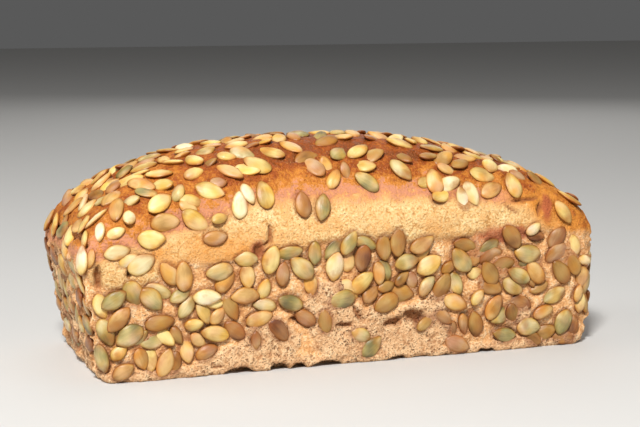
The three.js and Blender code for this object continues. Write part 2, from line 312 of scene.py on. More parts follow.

# More of the front, by kind, read off the photograph: the pixels, across and down, of the two ends of
# each. Each is left out if it finds no room.
SEEN_KERNELS = {
    "cream": (
        (123, 309, 142, 320), (243, 183, 253, 204), (84, 229, 106, 208), (98, 241, 101, 222),
        (130, 208, 128, 226), (119, 265, 140, 256), (457, 187, 466, 210),
    ),
    "pale": (
        (97, 294, 106, 321), (110, 309, 126, 322), (121, 331, 147, 325), (155, 328, 174, 345),
        (154, 323, 178, 319), (185, 326, 204, 323), (112, 362, 127, 345), (207, 302, 222, 304),
        (349, 234, 364, 238), (388, 279, 404, 261), (405, 270, 415, 258), (472, 305, 483, 290),
        (460, 264, 484, 266), (468, 276, 484, 271), (216, 157, 236, 158), (184, 177, 203, 170),
        (150, 184, 175, 186), (232, 166, 260, 172), (264, 160, 273, 180), (198, 197, 227, 192),
        (158, 203, 175, 203), (180, 213, 210, 228), (86, 232, 84, 247), (105, 237, 125, 230),
        (113, 187, 143, 176), (313, 162, 322, 183), (418, 185, 433, 180), (469, 172, 495, 178),
        (430, 203, 450, 191),
    ),
    "golden": (
        (104, 330, 130, 339), (191, 336, 205, 346), (137, 349, 145, 370), (113, 379, 134, 365),
        (203, 330, 228, 339), (213, 323, 223, 311), (217, 294, 234, 271), (245, 264, 250, 289),
        (245, 324, 272, 314), (243, 317, 247, 290), (309, 271, 313, 297), (312, 271, 335, 277),
        (350, 248, 349, 273), (378, 262, 381, 285), (339, 282, 360, 299), (559, 266, 564, 285),
        (533, 316, 553, 307), (576, 302, 581, 286), (488, 272, 503, 279), (173, 158, 189, 152),
        (174, 163, 199, 163), (178, 203, 197, 210), (150, 225, 180, 220), (86, 209, 99, 192),
        (102, 206, 117, 189), (74, 213, 79, 236), (92, 251, 87, 266), (380, 140, 400, 146),
        (352, 181, 380, 179), (337, 171, 329, 189), (453, 155, 475, 160), (435, 166, 457, 171),
    ),
    "green": (
        (101, 291, 132, 301), (127, 281, 141, 308), (145, 287, 173, 297), (170, 302, 192, 290),
        (143, 322, 168, 302), (129, 346, 149, 331), (179, 319, 195, 296), (200, 301, 209, 325),
        (326, 261, 344, 240), (353, 277, 373, 258), (400, 259, 423, 237), (425, 268, 453, 247),
        (419, 296, 434, 276), (519, 265, 543, 259), (503, 281, 524, 293), (545, 303, 565, 288),
        (516, 326, 542, 327), (564, 318, 583, 301), (229, 151, 256, 157), (150, 171, 174, 178),
        (212, 172, 238, 173), (174, 200, 182, 186), (212, 222, 228, 216), (107, 228, 117, 208),
        (119, 203, 141, 199), (135, 190, 158, 194), (308, 146, 326, 143), (331, 160, 347, 148),
        (394, 183, 420, 168),
    ),
    "olive": (
        (199, 273, 210, 298), (172, 328, 182, 343), (154, 347, 163, 372), (171, 376, 178, 352),
        (131, 381, 149, 372), (225, 297, 238, 320), (291, 275, 310, 253), (251, 290, 273, 307),
        (279, 288, 281, 311), (335, 267, 347, 249), (384, 233, 384, 261), (362, 254, 378, 238),
        (415, 262, 430, 248), (412, 271, 432, 268), (396, 285, 408, 273), (379, 290, 394, 284),
        (387, 293, 415, 294), (436, 300, 449, 274), (442, 273, 458, 262), (417, 330, 434, 317),
        (470, 350, 492, 341), (492, 268, 518, 263), (511, 252, 531, 254), (529, 271, 535, 288),
        (479, 278, 502, 292), (510, 303, 515, 324), (471, 325, 500, 335), (491, 347, 517, 334),
        (450, 257, 472, 258), (255, 152, 271, 150), (200, 164, 216, 162), (356, 147, 382, 145),
        (360, 158, 383, 154), (290, 150, 303, 146), (295, 163, 316, 153), (396, 152, 412, 165),
        (419, 158, 437, 156), (490, 158, 503, 163), (526, 178, 545, 182),
    ),
    "brown": (
        (183, 367, 207, 376), (196, 358, 218, 347), (226, 324, 246, 338), (271, 319, 288, 340),
        (255, 331, 256, 349), (411, 272, 414, 289), (363, 303, 381, 286), (440, 302, 468, 289),
        (453, 306, 468, 314), (434, 311, 452, 323), (452, 322, 453, 338), (464, 313, 465, 335),
        (433, 352, 457, 341), (473, 308, 494, 319), (480, 262, 504, 251), (545, 262, 570, 245),
        (487, 304, 500, 297), (512, 299, 532, 307), (552, 337, 575, 336), (243, 147, 258, 145),
        (272, 147, 300, 143), (206, 184, 227, 182), (135, 172, 155, 166), (321, 141, 346, 143),
        (341, 163, 348, 178), (511, 173, 523, 178), (531, 235, 543, 237),
    ),
}

# Two small ones near the right end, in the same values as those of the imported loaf.
SMALL_KERNELS = {"cream": ((95, 60.5, 35, 9), (124.8, 43, -15, 8))}

# A place is rounded to half a millimetre, and a length to a tenth and into this range. One that looks longer
# than the slanted limit is seen along the crown's slope, and gets the usual length.
SHORTEST_SEEN, LONGEST_SEEN = 9.5, 15
SLANTED_OVER, USUAL_LENGTH = 20, 13
# A line of sight is followed in steps from the camera's side of the loaf until it is inside the form. Where
# the line of one end passes the loaf, both ends are taken nearer to the middle, at this share of the way.
SIGHT_STEPS = np.arange(500, 1000, 0.25) * MM
LOWEST_SEEN = -0.5 * MM
NEARER = 0.8
# The form that the lines of sight meet differs a little: its right end falls as it was first fitted.
SEEN_FORM = {"right_fall": 0.525}
SEEN_SPACING = 0.4
# How much of the usual cover the other kernels keep on the front, the ends and the back, and how far a place
# has to face that way.
FRONT_SHARE = 0.1
END_SHARE = 0.1
BACK_SHARE = 0.5
FACING_FRONT, FACING_END, FACING_BACK = -0.2, 0.7, 0.7


# ---- Small helpers ---------------------------------------------------------------------------------------


def linear(code):
    """An sRGB hex colour as linear red, green, blue and alpha."""
    parts = [int(code[i : i + 2], 16) / 255 for i in (1, 3, 5)]
    return (*[c / 12.92 if c <= 0.04045 else ((c + 0.055) / 1.055) ** 2.4 for c in parts], 1.0)


def colour(code, name, description):
    """A colour that a user can change, from an sRGB hex value."""
    return FloatVectorProperty(
        name=name, description=description, subtype="COLOR", size=4, min=0, max=1, default=linear(code)
    )


def length(value, name, description):
    """A length that a user can change."""
    return FloatProperty(
        name=name, description=description, default=value, min=0, unit="LENGTH", subtype="DISTANCE"
    )


def lerp(low, high, share):
    return low + (high - low) * share


def smoothstep(values, low, high):
    share = np.clip((values - low) / (high - low), 0, 1)
    return share * share * (3 - 2 * share)


def swell(values, at, reach):
    """1 at a place, fading over its reach."""
    return np.exp(-(((values - at) / reach) ** 2))


def unit(vectors):
    return vectors / np.maximum(np.linalg.norm(vectors, axis=-1, keepdims=True), 1e-12)


# Large odd numbers that scramble a cell's place and a start into an even draw.
SCRAMBLE = (73856093, 19349663, 83492791)
SCRAMBLE_START = 2654435761
SCRAMBLE_AGAIN = 1274126177
START_SHIFT = 31.7


def lumps(points, size, start):
    """Smooth noise from -1 to 1 at each point, with lumps of about that size."""
    cells = points / size + START_SHIFT * start
    whole = np.floor(cells).astype(np.int64)
    part = cells - whole
    part = part * part * (3 - 2 * part)
    total = np.zeros(len(points))
    for corner in itertools.product((0, 1), repeat=3):
        key = (whole + np.array(corner)) * np.array(SCRAMBLE)
        mixed = key[:, 0] ^ key[:, 1] ^ key[:, 2] ^ (start * SCRAMBLE_START)
        mixed = (mixed ^ (mixed >> 13)) * SCRAMBLE_AGAIN & 0xFFFFFFFF
        value = (mixed ^ (mixed >> 16)) / 2**31 - 1
        total += value * np.prod(np.where(corner, part, 1 - part), axis=1)
    return total


def uneven(points, noises):
    """A sum of smooth noises, from their reach, their lumps' size in millimetres and their start."""
    return sum(reach * lumps(points, size * MM, start) for reach, size, start in noises)


def add(tree, kind, inputs=None, out=0, stops=None, **settings):
    """Adds a node with its settings, its inputs as values or links and a ramp's stops. Gives one output."""
    made = tree.nodes.new(kind)
    for name, value in settings.items():
        setattr(made, name, value)
    for name, value in (inputs or {}).items():
        if isinstance(value, bpy.types.NodeSocket):
            tree.links.new(value, made.inputs[name])
        else:
            made.inputs[name].default_value = value
    if stops:
        elements = made.color_ramp.elements
        while len(elements) < len(stops):
            elements.new(0.5)
        for element, (place, tint) in zip(elements, stops):
            element.position = place
            element.color = tint
    return made.outputs[out] if made.outputs else None


# Kinds of node, by what they do. Inputs that share a name go by number: a RANGE has its value in 0, its low
# and high in 1 and 2, and what they become in 3 and 4. A MIX has its share in 0 and its colours in 6 and 7.
ATTRIBUTE, NOISE, CELLS = "ShaderNodeAttribute", "ShaderNodeTexNoise", "ShaderNodeTexVoronoi"
MATH, RANGE, RAMP, MIX = "ShaderNodeMath", "ShaderNodeMapRange", "ShaderNodeValToRGB", "ShaderNodeMix"
PLACE, SCALING, WARP = "ShaderNodeTexCoord", "ShaderNodeMapping", "ShaderNodeVectorMath"
BUMP, SHADER, RESULT = "ShaderNodeBump", "ShaderNodeBsdfPrincipled", "ShaderNodeOutputMaterial"


def put(name, data):
    """A new object in the scene."""
    made = bpy.data.objects.new(name, data)
    bpy.context.scene.collection.objects.link(made)
    return made


def build_mesh(name, points, faces, values, material):
    """A mesh object from arrays, with a number or a vector at each point for every named value."""
    mesh = bpy.data.meshes.new(name)
    mesh.from_pydata(points.tolist(), [], faces)
    for label, numbers in values.items():
        kind, field = ("FLOAT", "value") if numbers.ndim == 1 else ("FLOAT_VECTOR", "vector")
        mesh.attributes.new(label, kind, "POINT").data.foreach_set(field, numbers.astype(np.float32).ravel())
    mesh.polygons.foreach_set("use_smooth", [True] * len(mesh.polygons))
    mesh.materials.append(material)
    mesh.update()
    made = put(name, mesh)
    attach(made, "root")
    return made


def empty_material(name):
    """A new material and its empty node tree."""
    material = bpy.data.materials.new(name)
    material.use_nodes = True
    material.node_tree.nodes.clear()
    return material, material.node_tree


# ---- Properties ------------------------------------------------------------------------------------------


class LoafSizes(PropertyGroup):
    """Sizes of the loaf and of its kernels."""

    rim_length: length(264 * MM, "Rim length", "Length of the loaf at the rim of the tin")
    rim_width: length(97 * MM, "Rim width", "Width of the loaf at the rim of the tin")
    rim_height: length(56 * MM, "Rim height", "Depth of the tin's straight impression")
    crown_height: length(50.5 * MM, "Crown height", "Rise of the crown over the rim")
    cell: length(1.16 * MM, "Cell", "Spacing of the crust's mesh")
    spring_bulge: length(2.2 * MM, "Spring bulge", "How far the smooth band bulges over the belt")
    belt_sink: length(1.4 * MM, "Belt sink", "How far the dough between the kernels sinks in")
    longest_kernel: length(14.4 * MM, "Longest kernel", "Length of the largest pumpkin kernels")
    shortest_kernel: length(9.8 * MM, "Shortest kernel", "Length of the smallest pumpkin kernels")
    kernel_thickness: length(3.5 * MM, "Kernel thickness", "Usual thickness of a kernel")
    kernel_width: FloatProperty(
        name="Kernel width", description="Width as a share of the length", default=0.61, min=0.3, max=1
    )
    kernel_sides: IntProperty(
        name="Kernel sides", description="Points round a kernel's rim", default=22, min=8, max=48
    )


class LoafColours(PropertyGroup):
    """Colours of the loaf, its kernels and the floor."""

    band: colour("#efc688", "Smooth band", "Pale crust of the smooth band")
    band_shade: colour("#cb9252", "Band shade", "Darker grains of the smooth band")
    band_light: colour("#fae0a8", "Band highlights", "Palest grains of the smooth band")
    gold: colour("#e09a50", "Golden patches", "Patches of the smooth band that browned a little")
    blush: colour("#cf8a68", "Blush", "Rosy crust between the band and the crown")
    shoulder: colour("#d0832d", "Shoulder", "Golden crust where the browning starts")
    crown: colour("#9d4a0e", "Crown", "Browned crust of the crown")
    scorched: colour("#7c3e0d", "Scorched", "Darkest crust, on the ridges of the crown")
    # Pale specks of meal, partly painted glints on the crown.
    meal_and_glints: colour("#dfa05c", "Meal", "Pale specks of meal on the crown")
    ruddy: colour("#ac5234", "Ruddy spot", "Skin that browned red over the belt")
    dough: colour("#efb478", "Dough", "Dough between the kernels")
    dough_shade: colour("#d2935a", "Dough shade", "Dough in the hollows between the kernels")
    crumb: colour("#ecbd8c", "Crumb", "Bare crumb")
    crumb_shade: colour("#c48c5c", "Crumb shade", "Moist spots of the bare crumb")
    crumb_light: colour("#f8d6a8", "Crumb highlights", "Palest grains of the bare crumb")
    # Painted shade inside pores, pits, cracks, tears and hollows.
    pore_shade: colour("#94592f", "Pore", "Inside of pores, cracks and crevices")
    bran: colour("#94673c", "Bran", "Flecks of bran")
    # Painted contact shade, for the dough that meets a kernel.
    shade: colour("#8a4a1e", "Contact", "Tint of the dough that meets a kernel")
    floor: colour("#cbc9c5", "Floor", "Plain pale floor")


# ---- The plain form --------------------------------------------------------------------------------------


def sizes():
    return bpy.context.scene.loaf_sizes


def colours():
    return bpy.context.scene.loaf_colours


def loaf_height():
    return sizes().rim_height + sizes().crown_height


def box_reach():
    """Half length and half width of the box round the loaf, from which rays run in to its heart."""
    return MARGIN * sizes().rim_length / 2, MARGIN * sizes().rim_width / 2


def foot_inset(heights, radius):
    """How far the foot's round edge stays inside the wall at each height."""
    below = np.clip(radius - heights, 0, radius)
    return radius - np.sqrt(radius**2 - below**2)


def outline_at(heights, side, right_fall=RIGHT_END["fall"]):
    """The level outline at each height: half length on the given side, half width, and the two powers."""
    s = sizes()
    left = side < 0
    in_tin = np.clip(heights / s.rim_height, 0, 1)
    in_crown = np.clip((heights - s.rim_height) / s.crown_height, 0, 0.9999)
    narrowing = 1 - in_crown**2
    squareness = (1 - in_crown) ** 2
    base = np.where(left, LEFT_END["base"], RIGHT_END["base"])
    foot = np.where(left, foot_inset(heights, LEFT_END["foot"]), foot_inset(heights, RIGHT_END["foot"]))
    fall = np.where(left, LEFT_END["fall"], right_fall)
    long = (lerp(base, s.rim_length / 2, in_tin) - foot) * narrowing**fall
    wide = lerp(BASE_WIDTH, s.rim_width, in_tin) / 2 - foot_inset(heights, FOOT_RADIUS)
    wide = wide * narrowing**SIDE_FALL
    x_power = lerp(CROWN_POWERS[0], TIN_POWERS[0], squareness)
    y_power = lerp(CROWN_POWERS[1], TIN_POWERS[1], squareness)
    return long, wide, x_power, y_power


def outsideness(points, **form):
    """Below 0 inside the plain form, and above 0 outside it."""
    long, wide, x_power, y_power = outline_at(points[:, 2], points[:, 0], **form)
    return (np.abs(points[:, 0]) / long) ** x_power + (np.abs(points[:, 1]) / wide) ** y_power - 1


def onto_form(targets):
    """Where rays from the loaf's heart to targets outside it pass the plain form."""
    s = sizes()
    spine_share = (s.rim_length - s.rim_width) / 2 / box_reach()[0]
    hearts = np.stack([targets[:, 0] * spine_share, 0 * targets[:, 0], 0 * targets[:, 0] + HEART_HEIGHT], 1)
    inner, outer = np.zeros(len(targets)), np.ones(len(targets))
    for _ in range(HALVINGS):
        middle = (inner + outer) / 2
        inside = outsideness(lerp(hearts, targets, middle[:, None])) < 0
        inner, outer = np.where(inside, middle, inner), np.where(inside, outer, middle)
    points = lerp(hearts, targets, inner[:, None])
    points[:, 2] = np.maximum(points[:, 2], 0)
    return points


def front_at(x, height):
    """The point of the front face at a place along the loaf and a height."""
    long, wide, x_power, y_power = (float(v) for v in outline_at(np.float64(height), np.float64(x)))
    # Just past the loaf's end the root is complex, and its real part puts the kernel on the end.
    share = (1 - (abs(x) / long) ** x_power) ** (1 / y_power)
    return np.array([x, -wide * share.real, height])


def outward_at(points, **form):
    """The direction that faces out of the plain form."""
    slopes = []
    for step in SLOPE_STEP * np.eye(3):
        slopes.append(outsideness(points + step, **form) - outsideness(points - step, **form))
    slopes[2] = slopes[2] + 1e-9
    return unit(np.stack(slopes, 1))


# ---- Zones of the crust ----------------------------------------------------------------------------------


def end_share(outward):
    """1 on the two ends and 0 on the long sides."""
    return smoothstep(np.abs(outward[:, 0]) - np.abs(outward[:, 1]), -CORNER_MIX, CORNER_MIX)


def place_on_side(points):
    """Each point's place along its long side, from left to right for someone who faces that side."""
    return points[:, 0] * -np.sign(points[:, 1])


def belt_top(points, on_end):
    """The height at which the belt of kernels ends."""
    place = place_on_side(points)
    swells = (rise * MM * swell(place, at * MM, reach * MM) for at, reach, rise in BELT_SWELLS)
    return lerp(BELT_HEIGHT + sum(swells), END_BELT_HEIGHT, on_end)


def band_top(points, on_end):
    """The height at which the smooth band gives way to the browned crown."""
    side = BAND_TOP - BAND_FALL * (points[:, 0] / (sizes().rim_length / 2)) ** 2
    return lerp(side, END_BAND_TOP, on_end)


def bareness(points, on_end):
    """Over 1 inside the bare patches, falling outwards through 1 at their edges."""
    best = np.zeros(len(points))
    front, ends = points[:, 1] < 0, on_end > 0.5
    places = np.where(ends, points[:, 1] * np.sign(points[:, 0]), points[:, 0])
    groups = ((FRONT_PATCHES, ~ends & front), (BACK_PATCHES, ~ends & ~front), (END_PATCHES, ends))
    for patches, here in groups:
        for at, height, wide, high in patches:
            far = ((places - at * MM) / (wide * MM)) ** 2 + ((points[:, 2] - height * MM) / (high * MM)) ** 2
            best = np.maximum(best, np.where(here, 2 - np.sqrt(far), 0))
    return best


# ---- Places of the kernels -------------------------------------------------------------------------------


def draws(start, count):
    """Repeatable draws from 0 to 1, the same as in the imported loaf."""
    state, found = start, []
    for _ in range(count):
        state = (state + 0x6D2B79F5) & 0xFFFFFFFF
        mixed = ((state ^ (state >> 15)) * (state | 1)) & 0xFFFFFFFF
        mixed ^= (mixed + ((mixed ^ (mixed >> 7)) * (mixed | 61))) & 0xFFFFFFFF
        found.append(((mixed ^ (mixed >> 14)) & 0xFFFFFFFF) / 2**32)
    return found


def draw_targets(face, along, up):
    """Targets on the box round the loaf, even over its four sides and its top."""
    far_x, far_y = box_reach()
    height = loaf_height() + UNDER_BASE
    share = face * ((far_x + far_y) * height + 2 * far_x * far_y)
    x, y = lerp(-far_x, far_x, along), lerp(-far_y, far_y, along)
    z = lerp(-UNDER_BASE, loaf_height(), up)
    on_side = share < far_x * height
    on_wall = share < (far_x + far_y) * height
    side_y = np.where(share * 2 < far_x * height, -far_y, far_y)
    end_x = np.where((share - far_x * height) * 2 < far_y * height, -far_x, far_x)
    xs = np.where(on_side, x, np.where(on_wall, end_x, x))
    ys = np.where(on_side, side_y, np.where(on_wall, y, lerp(-far_y, far_y, up)))
    return np.stack([xs, ys, np.where(on_wall, z, loaf_height())], 1)


def frames_for(outward, turn):
    """Each kernel's directions: along it, across it and out of it."""
    sideways = np.stack([-outward[:, 1], outward[:, 0], 0 * turn], 1)
    level = np.where(np.abs(outward[:, 2:]) < 0.9, sideways, np.array([1.0, 0, 0]))
    rising = unit(np.cross(outward, level))
    level = np.cross(rising, outward)
    along = level * np.cos(turn)[:, None] + rising * np.sin(turn)[:, None]
    return along, np.cross(outward, along)


def survey(points, lengths, turns, covers):
    """The kernels that could lie at these points: their frames, their zone's spacing, and which may stay."""
    outward = outward_at(points)
    on_end = end_share(outward)
    belt, band = belt_top(points, on_end), band_top(points, on_end)
    cover = np.where(bareness(points, on_end) > 1, covers["bare"], covers["belt"])
    in_band = np.where(points[:, 0] < LEFT_BAND_END, covers["left_band"], covers["band"])
    cover = np.where(points[:, 2] > belt, in_band, cover)
    cover = np.where(points[:, 2] > band, covers["crown"], cover)
    along, across = frames_for(outward, turns)
    drop = np.hypot(along[:, 2] * lengths, across[:, 2] * lengths * PACKED_WIDTH) / 2
    fits = points[:, 2] > drop + FOOT_CLEARANCE
    for place in (-TIP_PLACE, TIP_PLACE):
        tips = points + along * (place * lengths)[:, None]
        fits &= (tips[:, 2] > 0) & ((outward_at(tips) * outward).sum(1) > FLATNESS)
    return dict(
        point=points,
        length=lengths,
        along=along,
        across=across,
        out=outward,
        crown=smoothstep(points[:, 2] - belt, *CROWN_FADE),
        over=smoothstep(points[:, 2] - belt, *OVER_FADE),
        spacing=lerp(BELT_SPACING, CROWN_SPACING, smoothstep(points[:, 2] - band, *SPACING_FADE)),
        cover=cover,
        fits=fits,
        tuck=0 * lengths,
        lean=0 * points,
    )


def settle(tried, most, packed=None):
    """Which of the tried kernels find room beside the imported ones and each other, the first tried first."""
    every = tried if packed is None else {k: np.concatenate([packed[k], tried[k]]) for k in tried}
    start = len(every["length"]) - len(tried["length"])
    spread = every["length"] * SPACING_DISC * DISC_SPREAD
    places = np.array([-1, 0, 1])[None, :, None] * spread[:, None, None]
    discs = every["point"][:, None, :] + every["along"][:, None, :] * places
    kept = list(range(start))
    for i in np.nonzero(every["fits"])[0]:
        if i < start:
            continue
        if len(kept) >= most:
            break
        near = np.array(kept, dtype=int)
        both = every["length"][near] + every["length"][i]
        near = near[np.linalg.norm(every["point"][near] - every["point"][i], axis=1) <= both]
        both = every["length"][near] + every["length"][i]
        reach = SPACING_DISC * both * np.minimum(every["spacing"][near], every["spacing"][i])
        gaps = np.linalg.norm(discs[near][:, :, None] - discs[i][None, None], axis=-1).min(axis=(1, 2))
        if np.all(gaps > reach):
            kept.append(i)
            overlap = np.clip(1 - gaps / (TOUCHING * both), 0, 1)
            every["tuck"][i] = overlap.max(initial=0)
            towards = unit(every["point"][near] - every["point"][i])
            every["lean"][i] = (towards * overlap[:, None]).sum(0)
    return {label: numbers[kept] for label, numbers in every.items()}


def draw_kernels(start, count):
    """Repeatable draws for that many kernels: points, turns, sizes, chances to stay and tilts."""
    face, along, up, turn, size, keep, tip, lean = np.array(draws(start, 8 * count)).reshape(-1, 8).T
    tilts = np.stack([2 * tip - 1, 2 * lean - 1], 1)
    return onto_form(draw_targets(face, along, up)), 2 * np.pi * turn, size, keep, tilts


def camera_frame():
    """The camera's place, and its directions back, right and up."""
    level, rising = np.array([math.sin(CAMERA_TURN), -math.cos(CAMERA_TURN), 0]), np.array([0, 0, 1])
    place = level * math.cos(CAMERA_RISE) + rising * math.sin(CAMERA_RISE)
    back = level * math.cos(CAMERA_TIP) + rising * math.sin(CAMERA_TIP)
    right = np.array([math.cos(CAMERA_TURN), math.sin(CAMERA_TURN), 0])
    return rising * CAMERA_CENTRE_HEIGHT + place * CAMERA_DISTANCE, back, right, np.cross(back, right)


def seen_at(pixel):
    """Where the line of sight through a pixel meets the plain form, or None where it passes it."""
    camera, back, right, up = camera_frame()
    across, down = (np.array(pixel) - PHOTO_MIDDLE) / FOCAL_PIXELS
    line = camera + unit(right * across - up * down - back) * SIGHT_STEPS[:, None]
    inside = (outsideness(line, **SEEN_FORM) < 0) & (line[:, 2] > LOWEST_SEEN) & (line[:, 2] < loaf_height())
    return line[inside.argmax()] if inside.any() else None


def seen_kernel(ends):
    """Place along X, height, turn and length of a kernel from its ends' pixels, or None off the loaf."""
    first, last = np.array(ends[:2], dtype=float), np.array(ends[2:], dtype=float)
    middle = (first + last) / 2
    tips = seen_at(first), seen_at(last)
    if tips[0] is None or tips[1] is None:
        tips = seen_at(lerp(middle, first, NEARER)), seen_at(lerp(middle, last, NEARER))
    centre = seen_at(middle)
    if centre is None or tips[0] is None or tips[1] is None:
        return None
    along = tips[1] - tips[0]
    long = np.linalg.norm(along) / MM
    level, rising = (side[0] for side in frames_for(outward_at(centre[None], **SEEN_FORM), np.zeros(1)))
    turn = math.degrees(math.atan2(along @ rising, along @ level))
    shown = USUAL_LENGTH if long > SLANTED_OVER else min(max(long, SHORTEST_SEEN), LONGEST_SEEN)
    x, z = (round(2 * v / MM) / 2 for v in centre[[0, 2]])
    return x, z, round((turn + 90) % 180 - 90), round(shown, 1)


def known_kernels(rows):
    """Points, lengths and turns of the kernels whose places are known."""
    points = np.array([front_at(x * MM, z * MM) for x, z, *_ in rows])
    return points, np.array([row[3] * MM for row in rows]), np.radians([row[2] for row in rows])


def packed_kernels():
    """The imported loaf's own kernels."""
    s = sizes()
    known = len(PLACED_KERNELS)
    points, turns, size, keep, tilts = draw_kernels(DRAW_START, KERNEL_TRIES)
    falling = np.clip(np.arange(KERNEL_TRIES) / KERNEL_TRIES + LENGTH_SCATTER * (size - 0.5), 0, 1)
    lengths = lerp(s.longest_kernel, s.shortest_kernel, falling)
    both = zip(known_kernels(PLACED_KERNELS), (points, lengths, turns))
    tried = survey(*(np.concatenate(pair) for pair in both), PACKED_COVERS)
    tried["tilts"] = np.concatenate([np.zeros((known, 2)), tilts])
    tried["fits"] &= np.concatenate([np.full(known, -1), keep]) < tried["cover"]
    tried["fits"][:known] = True
    # The known ones lie as they are, with no check for room.
    first = {label: numbers[:known] for label, numbers in tried.items()}
    rest = {label: numbers[known:] for label, numbers in tried.items()}
    packed = settle(rest, KERNELS_PACKED, first)
    packed["kind"] = np.array([row[4] for row in PLACED_KERNELS] + [""] * (KERNELS_PACKED - known))
    return packed


@lru_cache(maxsize=1)
def placed_kernels():
    """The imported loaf's kernels, and then the smaller and half hidden ones that it leaves out."""
    s = sizes()
    points, turns, size, keep, tilts = draw_kernels(EXTRA_START, EXTRA_TRIES)
    lengths = lerp(s.longest_kernel, s.shortest_kernel, lerp(*EXTRA_LENGTHS, size))
    rows = []
    for kind, group in SEEN_KERNELS.items():
        found = [row for row in map(seen_kernel, group) if row]
        rows += [(*row, kind) for row in (*found, *SMALL_KERNELS.get(kind, ()))]
    seen = len(rows)
    points[:seen], lengths[:seen], turns[:seen] = known_kernels(rows)
    extra = survey(points, lengths, turns, EXTRA_COVERS)
    extra["tilts"] = tilts
    crowding = np.linspace(FIRST_CROWDING, 1, EXTRA_TRIES)
    extra["spacing"] = np.minimum(extra["spacing"], EXTRA_CROWN_SPACING) * lerp(1, CLOSEST, crowding)
    extra["spacing"][:seen] = SEEN_SPACING
    thick = (extra["cover"] == EXTRA_COVERS["crown"]) & (extra["point"][:, 0] < THICK_CROWN_END)
    cover = np.where(thick, THICK_CROWN_COVER, extra["cover"])
    along, across = extra["out"][:, 0], extra["out"][:, 1]
    cover = cover * np.where(across < FACING_FRONT, FRONT_SHARE, 1)
    cover = cover * np.where(np.abs(along) > FACING_END, END_SHARE, 1)
    cover = cover * np.where(across > FACING_BACK, BACK_SHARE, 1)
    cover[:seen] = 1
    extra["fits"] &= keep < cover
    extra["kind"] = np.array([row[4] for row in rows] + [""] * (EXTRA_TRIES - seen))
    return settle(extra, EXTRA_TRIES, packed_kernels())


# ---- Crust -----------------------------------------------------------------------------------------------


def box_lattice(counts):
    """Points and quads of a box's surface in -1 to 1, with that many cells along each axis."""
    ids = np.full(tuple(n + 1 for n in counts), -1)
    grid = np.indices(ids.shape)
    shell = np.any([(g == 0) | (g == n) for g, n in zip(grid, counts)], axis=0)
    ids[shell] = np.arange(shell.sum())
    points = np.stack([g[shell] / n * 2 - 1 for g, n in zip(grid, counts)], 1)
    quads = []
    for axis in range(3):
        for end in (0, -1):
            sheet = np.take(ids, end, axis=axis)
            if (end == 0) != (axis == 1):
                sheet = sheet.T
            corners = sheet[:-1, :-1], sheet[1:, :-1], sheet[1:, 1:], sheet[:-1, 1:]
            quads.append(np.stack(corners, -1).reshape(-1, 4))
    return points, np.concatenate(quads)


def near_spot(points, at, height, long, high, turn=0):
    """0 in the middle of a turned oval on the front and 1 along its outline."""
    u, v = points[:, 0] - at * MM, points[:, 2] - height * MM
    cosine, sine = math.cos(math.radians(turn)), math.sin(math.radians(turn))
    return np.hypot((u * cosine + v * sine) / (long * MM), (v * cosine - u * sine) / (high * MM))


def crust_zones(points, outward):
    """How much each point belongs to the belt, the bare patches, the browned crown and the smooth band."""
    on_end = end_share(outward)
    height, top = points[:, 2], belt_top(points, on_end)
    belt = 1 - smoothstep(height + MM * uneven(points, BELT_EDGE), top + BELT_FADE[0], top + BELT_FADE[1])
    ragged = bareness(points, on_end) + uneven(points, BARE_EDGE)
    across, middle, wide, high = (v * MM for v in END_CRUMB)
    far = np.hypot((points[:, 1] - across) / wide, (height - middle) / high)
    torn_end = 2 - far + uneven(points, TORN_END_EDGE)
    ragged = np.maximum(ragged, torn_end * (on_end > 0.5) * (points[:, 0] < 0))
    at_foot = smoothstep(height + MM * uneven(points, FOOT_EDGE), *FOOT_FADE)
    bare = np.maximum(smoothstep(ragged, *BARE_FADE) * belt, at_foot)
    over = height + MM * uneven(points, BROWNED_EDGE) - band_top(points, on_end)
    most = np.ones(len(points))
    for at, full, drop, left in BROWNED_LOWER:
        share = smoothstep(points[:, 0], at * MM, full * MM)
        over, most = over + drop * MM * share, most * lerp(1, left, share)
    browning = smoothstep(over, *BROWNED_FADE) * most
    rosy = smoothstep(points[:, 0], ROSY_END + ROSY_FADE[0], ROSY_END + ROSY_FADE[1])
    return dict(on_end=on_end, belt=belt, bare=bare, browning=browning, rosy=rosy)


def beyond_kernels(points, kernels):
    """How far each point lies beyond the nearest kernel's outline, up to a limit, and below 0 under one."""
    least = np.full(len(points), CONTACT_LIMIT)
    half_width = sizes().kernel_width * kernels["length"] / 2
    for i, centre in enumerate(kernels["point"]):
        half = kernels["length"][i] / 2
        near = np.nonzero(np.abs(points - centre).max(1) < half + CONTACT_LIMIT)[0]
        offset = points[near] - centre
        u, v = offset @ kernels["along"][i] / half, offset @ kernels["across"][i] / half_width[i]
        reach = np.hypot(u, v) + 1e-6
        across = reach - 1
        inner = np.hypot(u * half, v * half_width[i]) / reach
        least[near] = np.minimum(least[near], across * inner)
    return least


def on_front(points):
    """1 on the front's face, and 0 further back."""
    return smoothstep(points[:, 1], FRONT_BEFORE, FRONT_BEFORE - 3 * MM)


def tornness(points):
    """How far the bread has come away at each point, and how much of a tear or a ruddy spot it is."""
    front, rough = on_front(points), uneven(points, TEAR_EDGE)
    depth, torn, ruddy = np.zeros(len(points)), np.zeros(len(points)), np.zeros(len(points))
    for *spot, deep in TEARS:
        share = smoothstep(near_spot(points, *spot) + rough, *TEAR_FADE) * front
        depth, torn = np.maximum(depth, deep * MM * share), np.maximum(torn, share)
    for spot in RUDDY_SPOTS:
        ruddy = np.maximum(ruddy, smoothstep(near_spot(points, *spot) + rough, *RUDDY_FADE) * front)
    return depth, torn, ruddy


def toasted_share(points):
    """How golden the smooth band is toasted at each point of the front."""
    far = near_spot(points, *TOASTED_SPOT) + uneven(points, TOASTED_EDGE)
    return smoothstep(far, *TOASTED_FADE) * on_front(points)


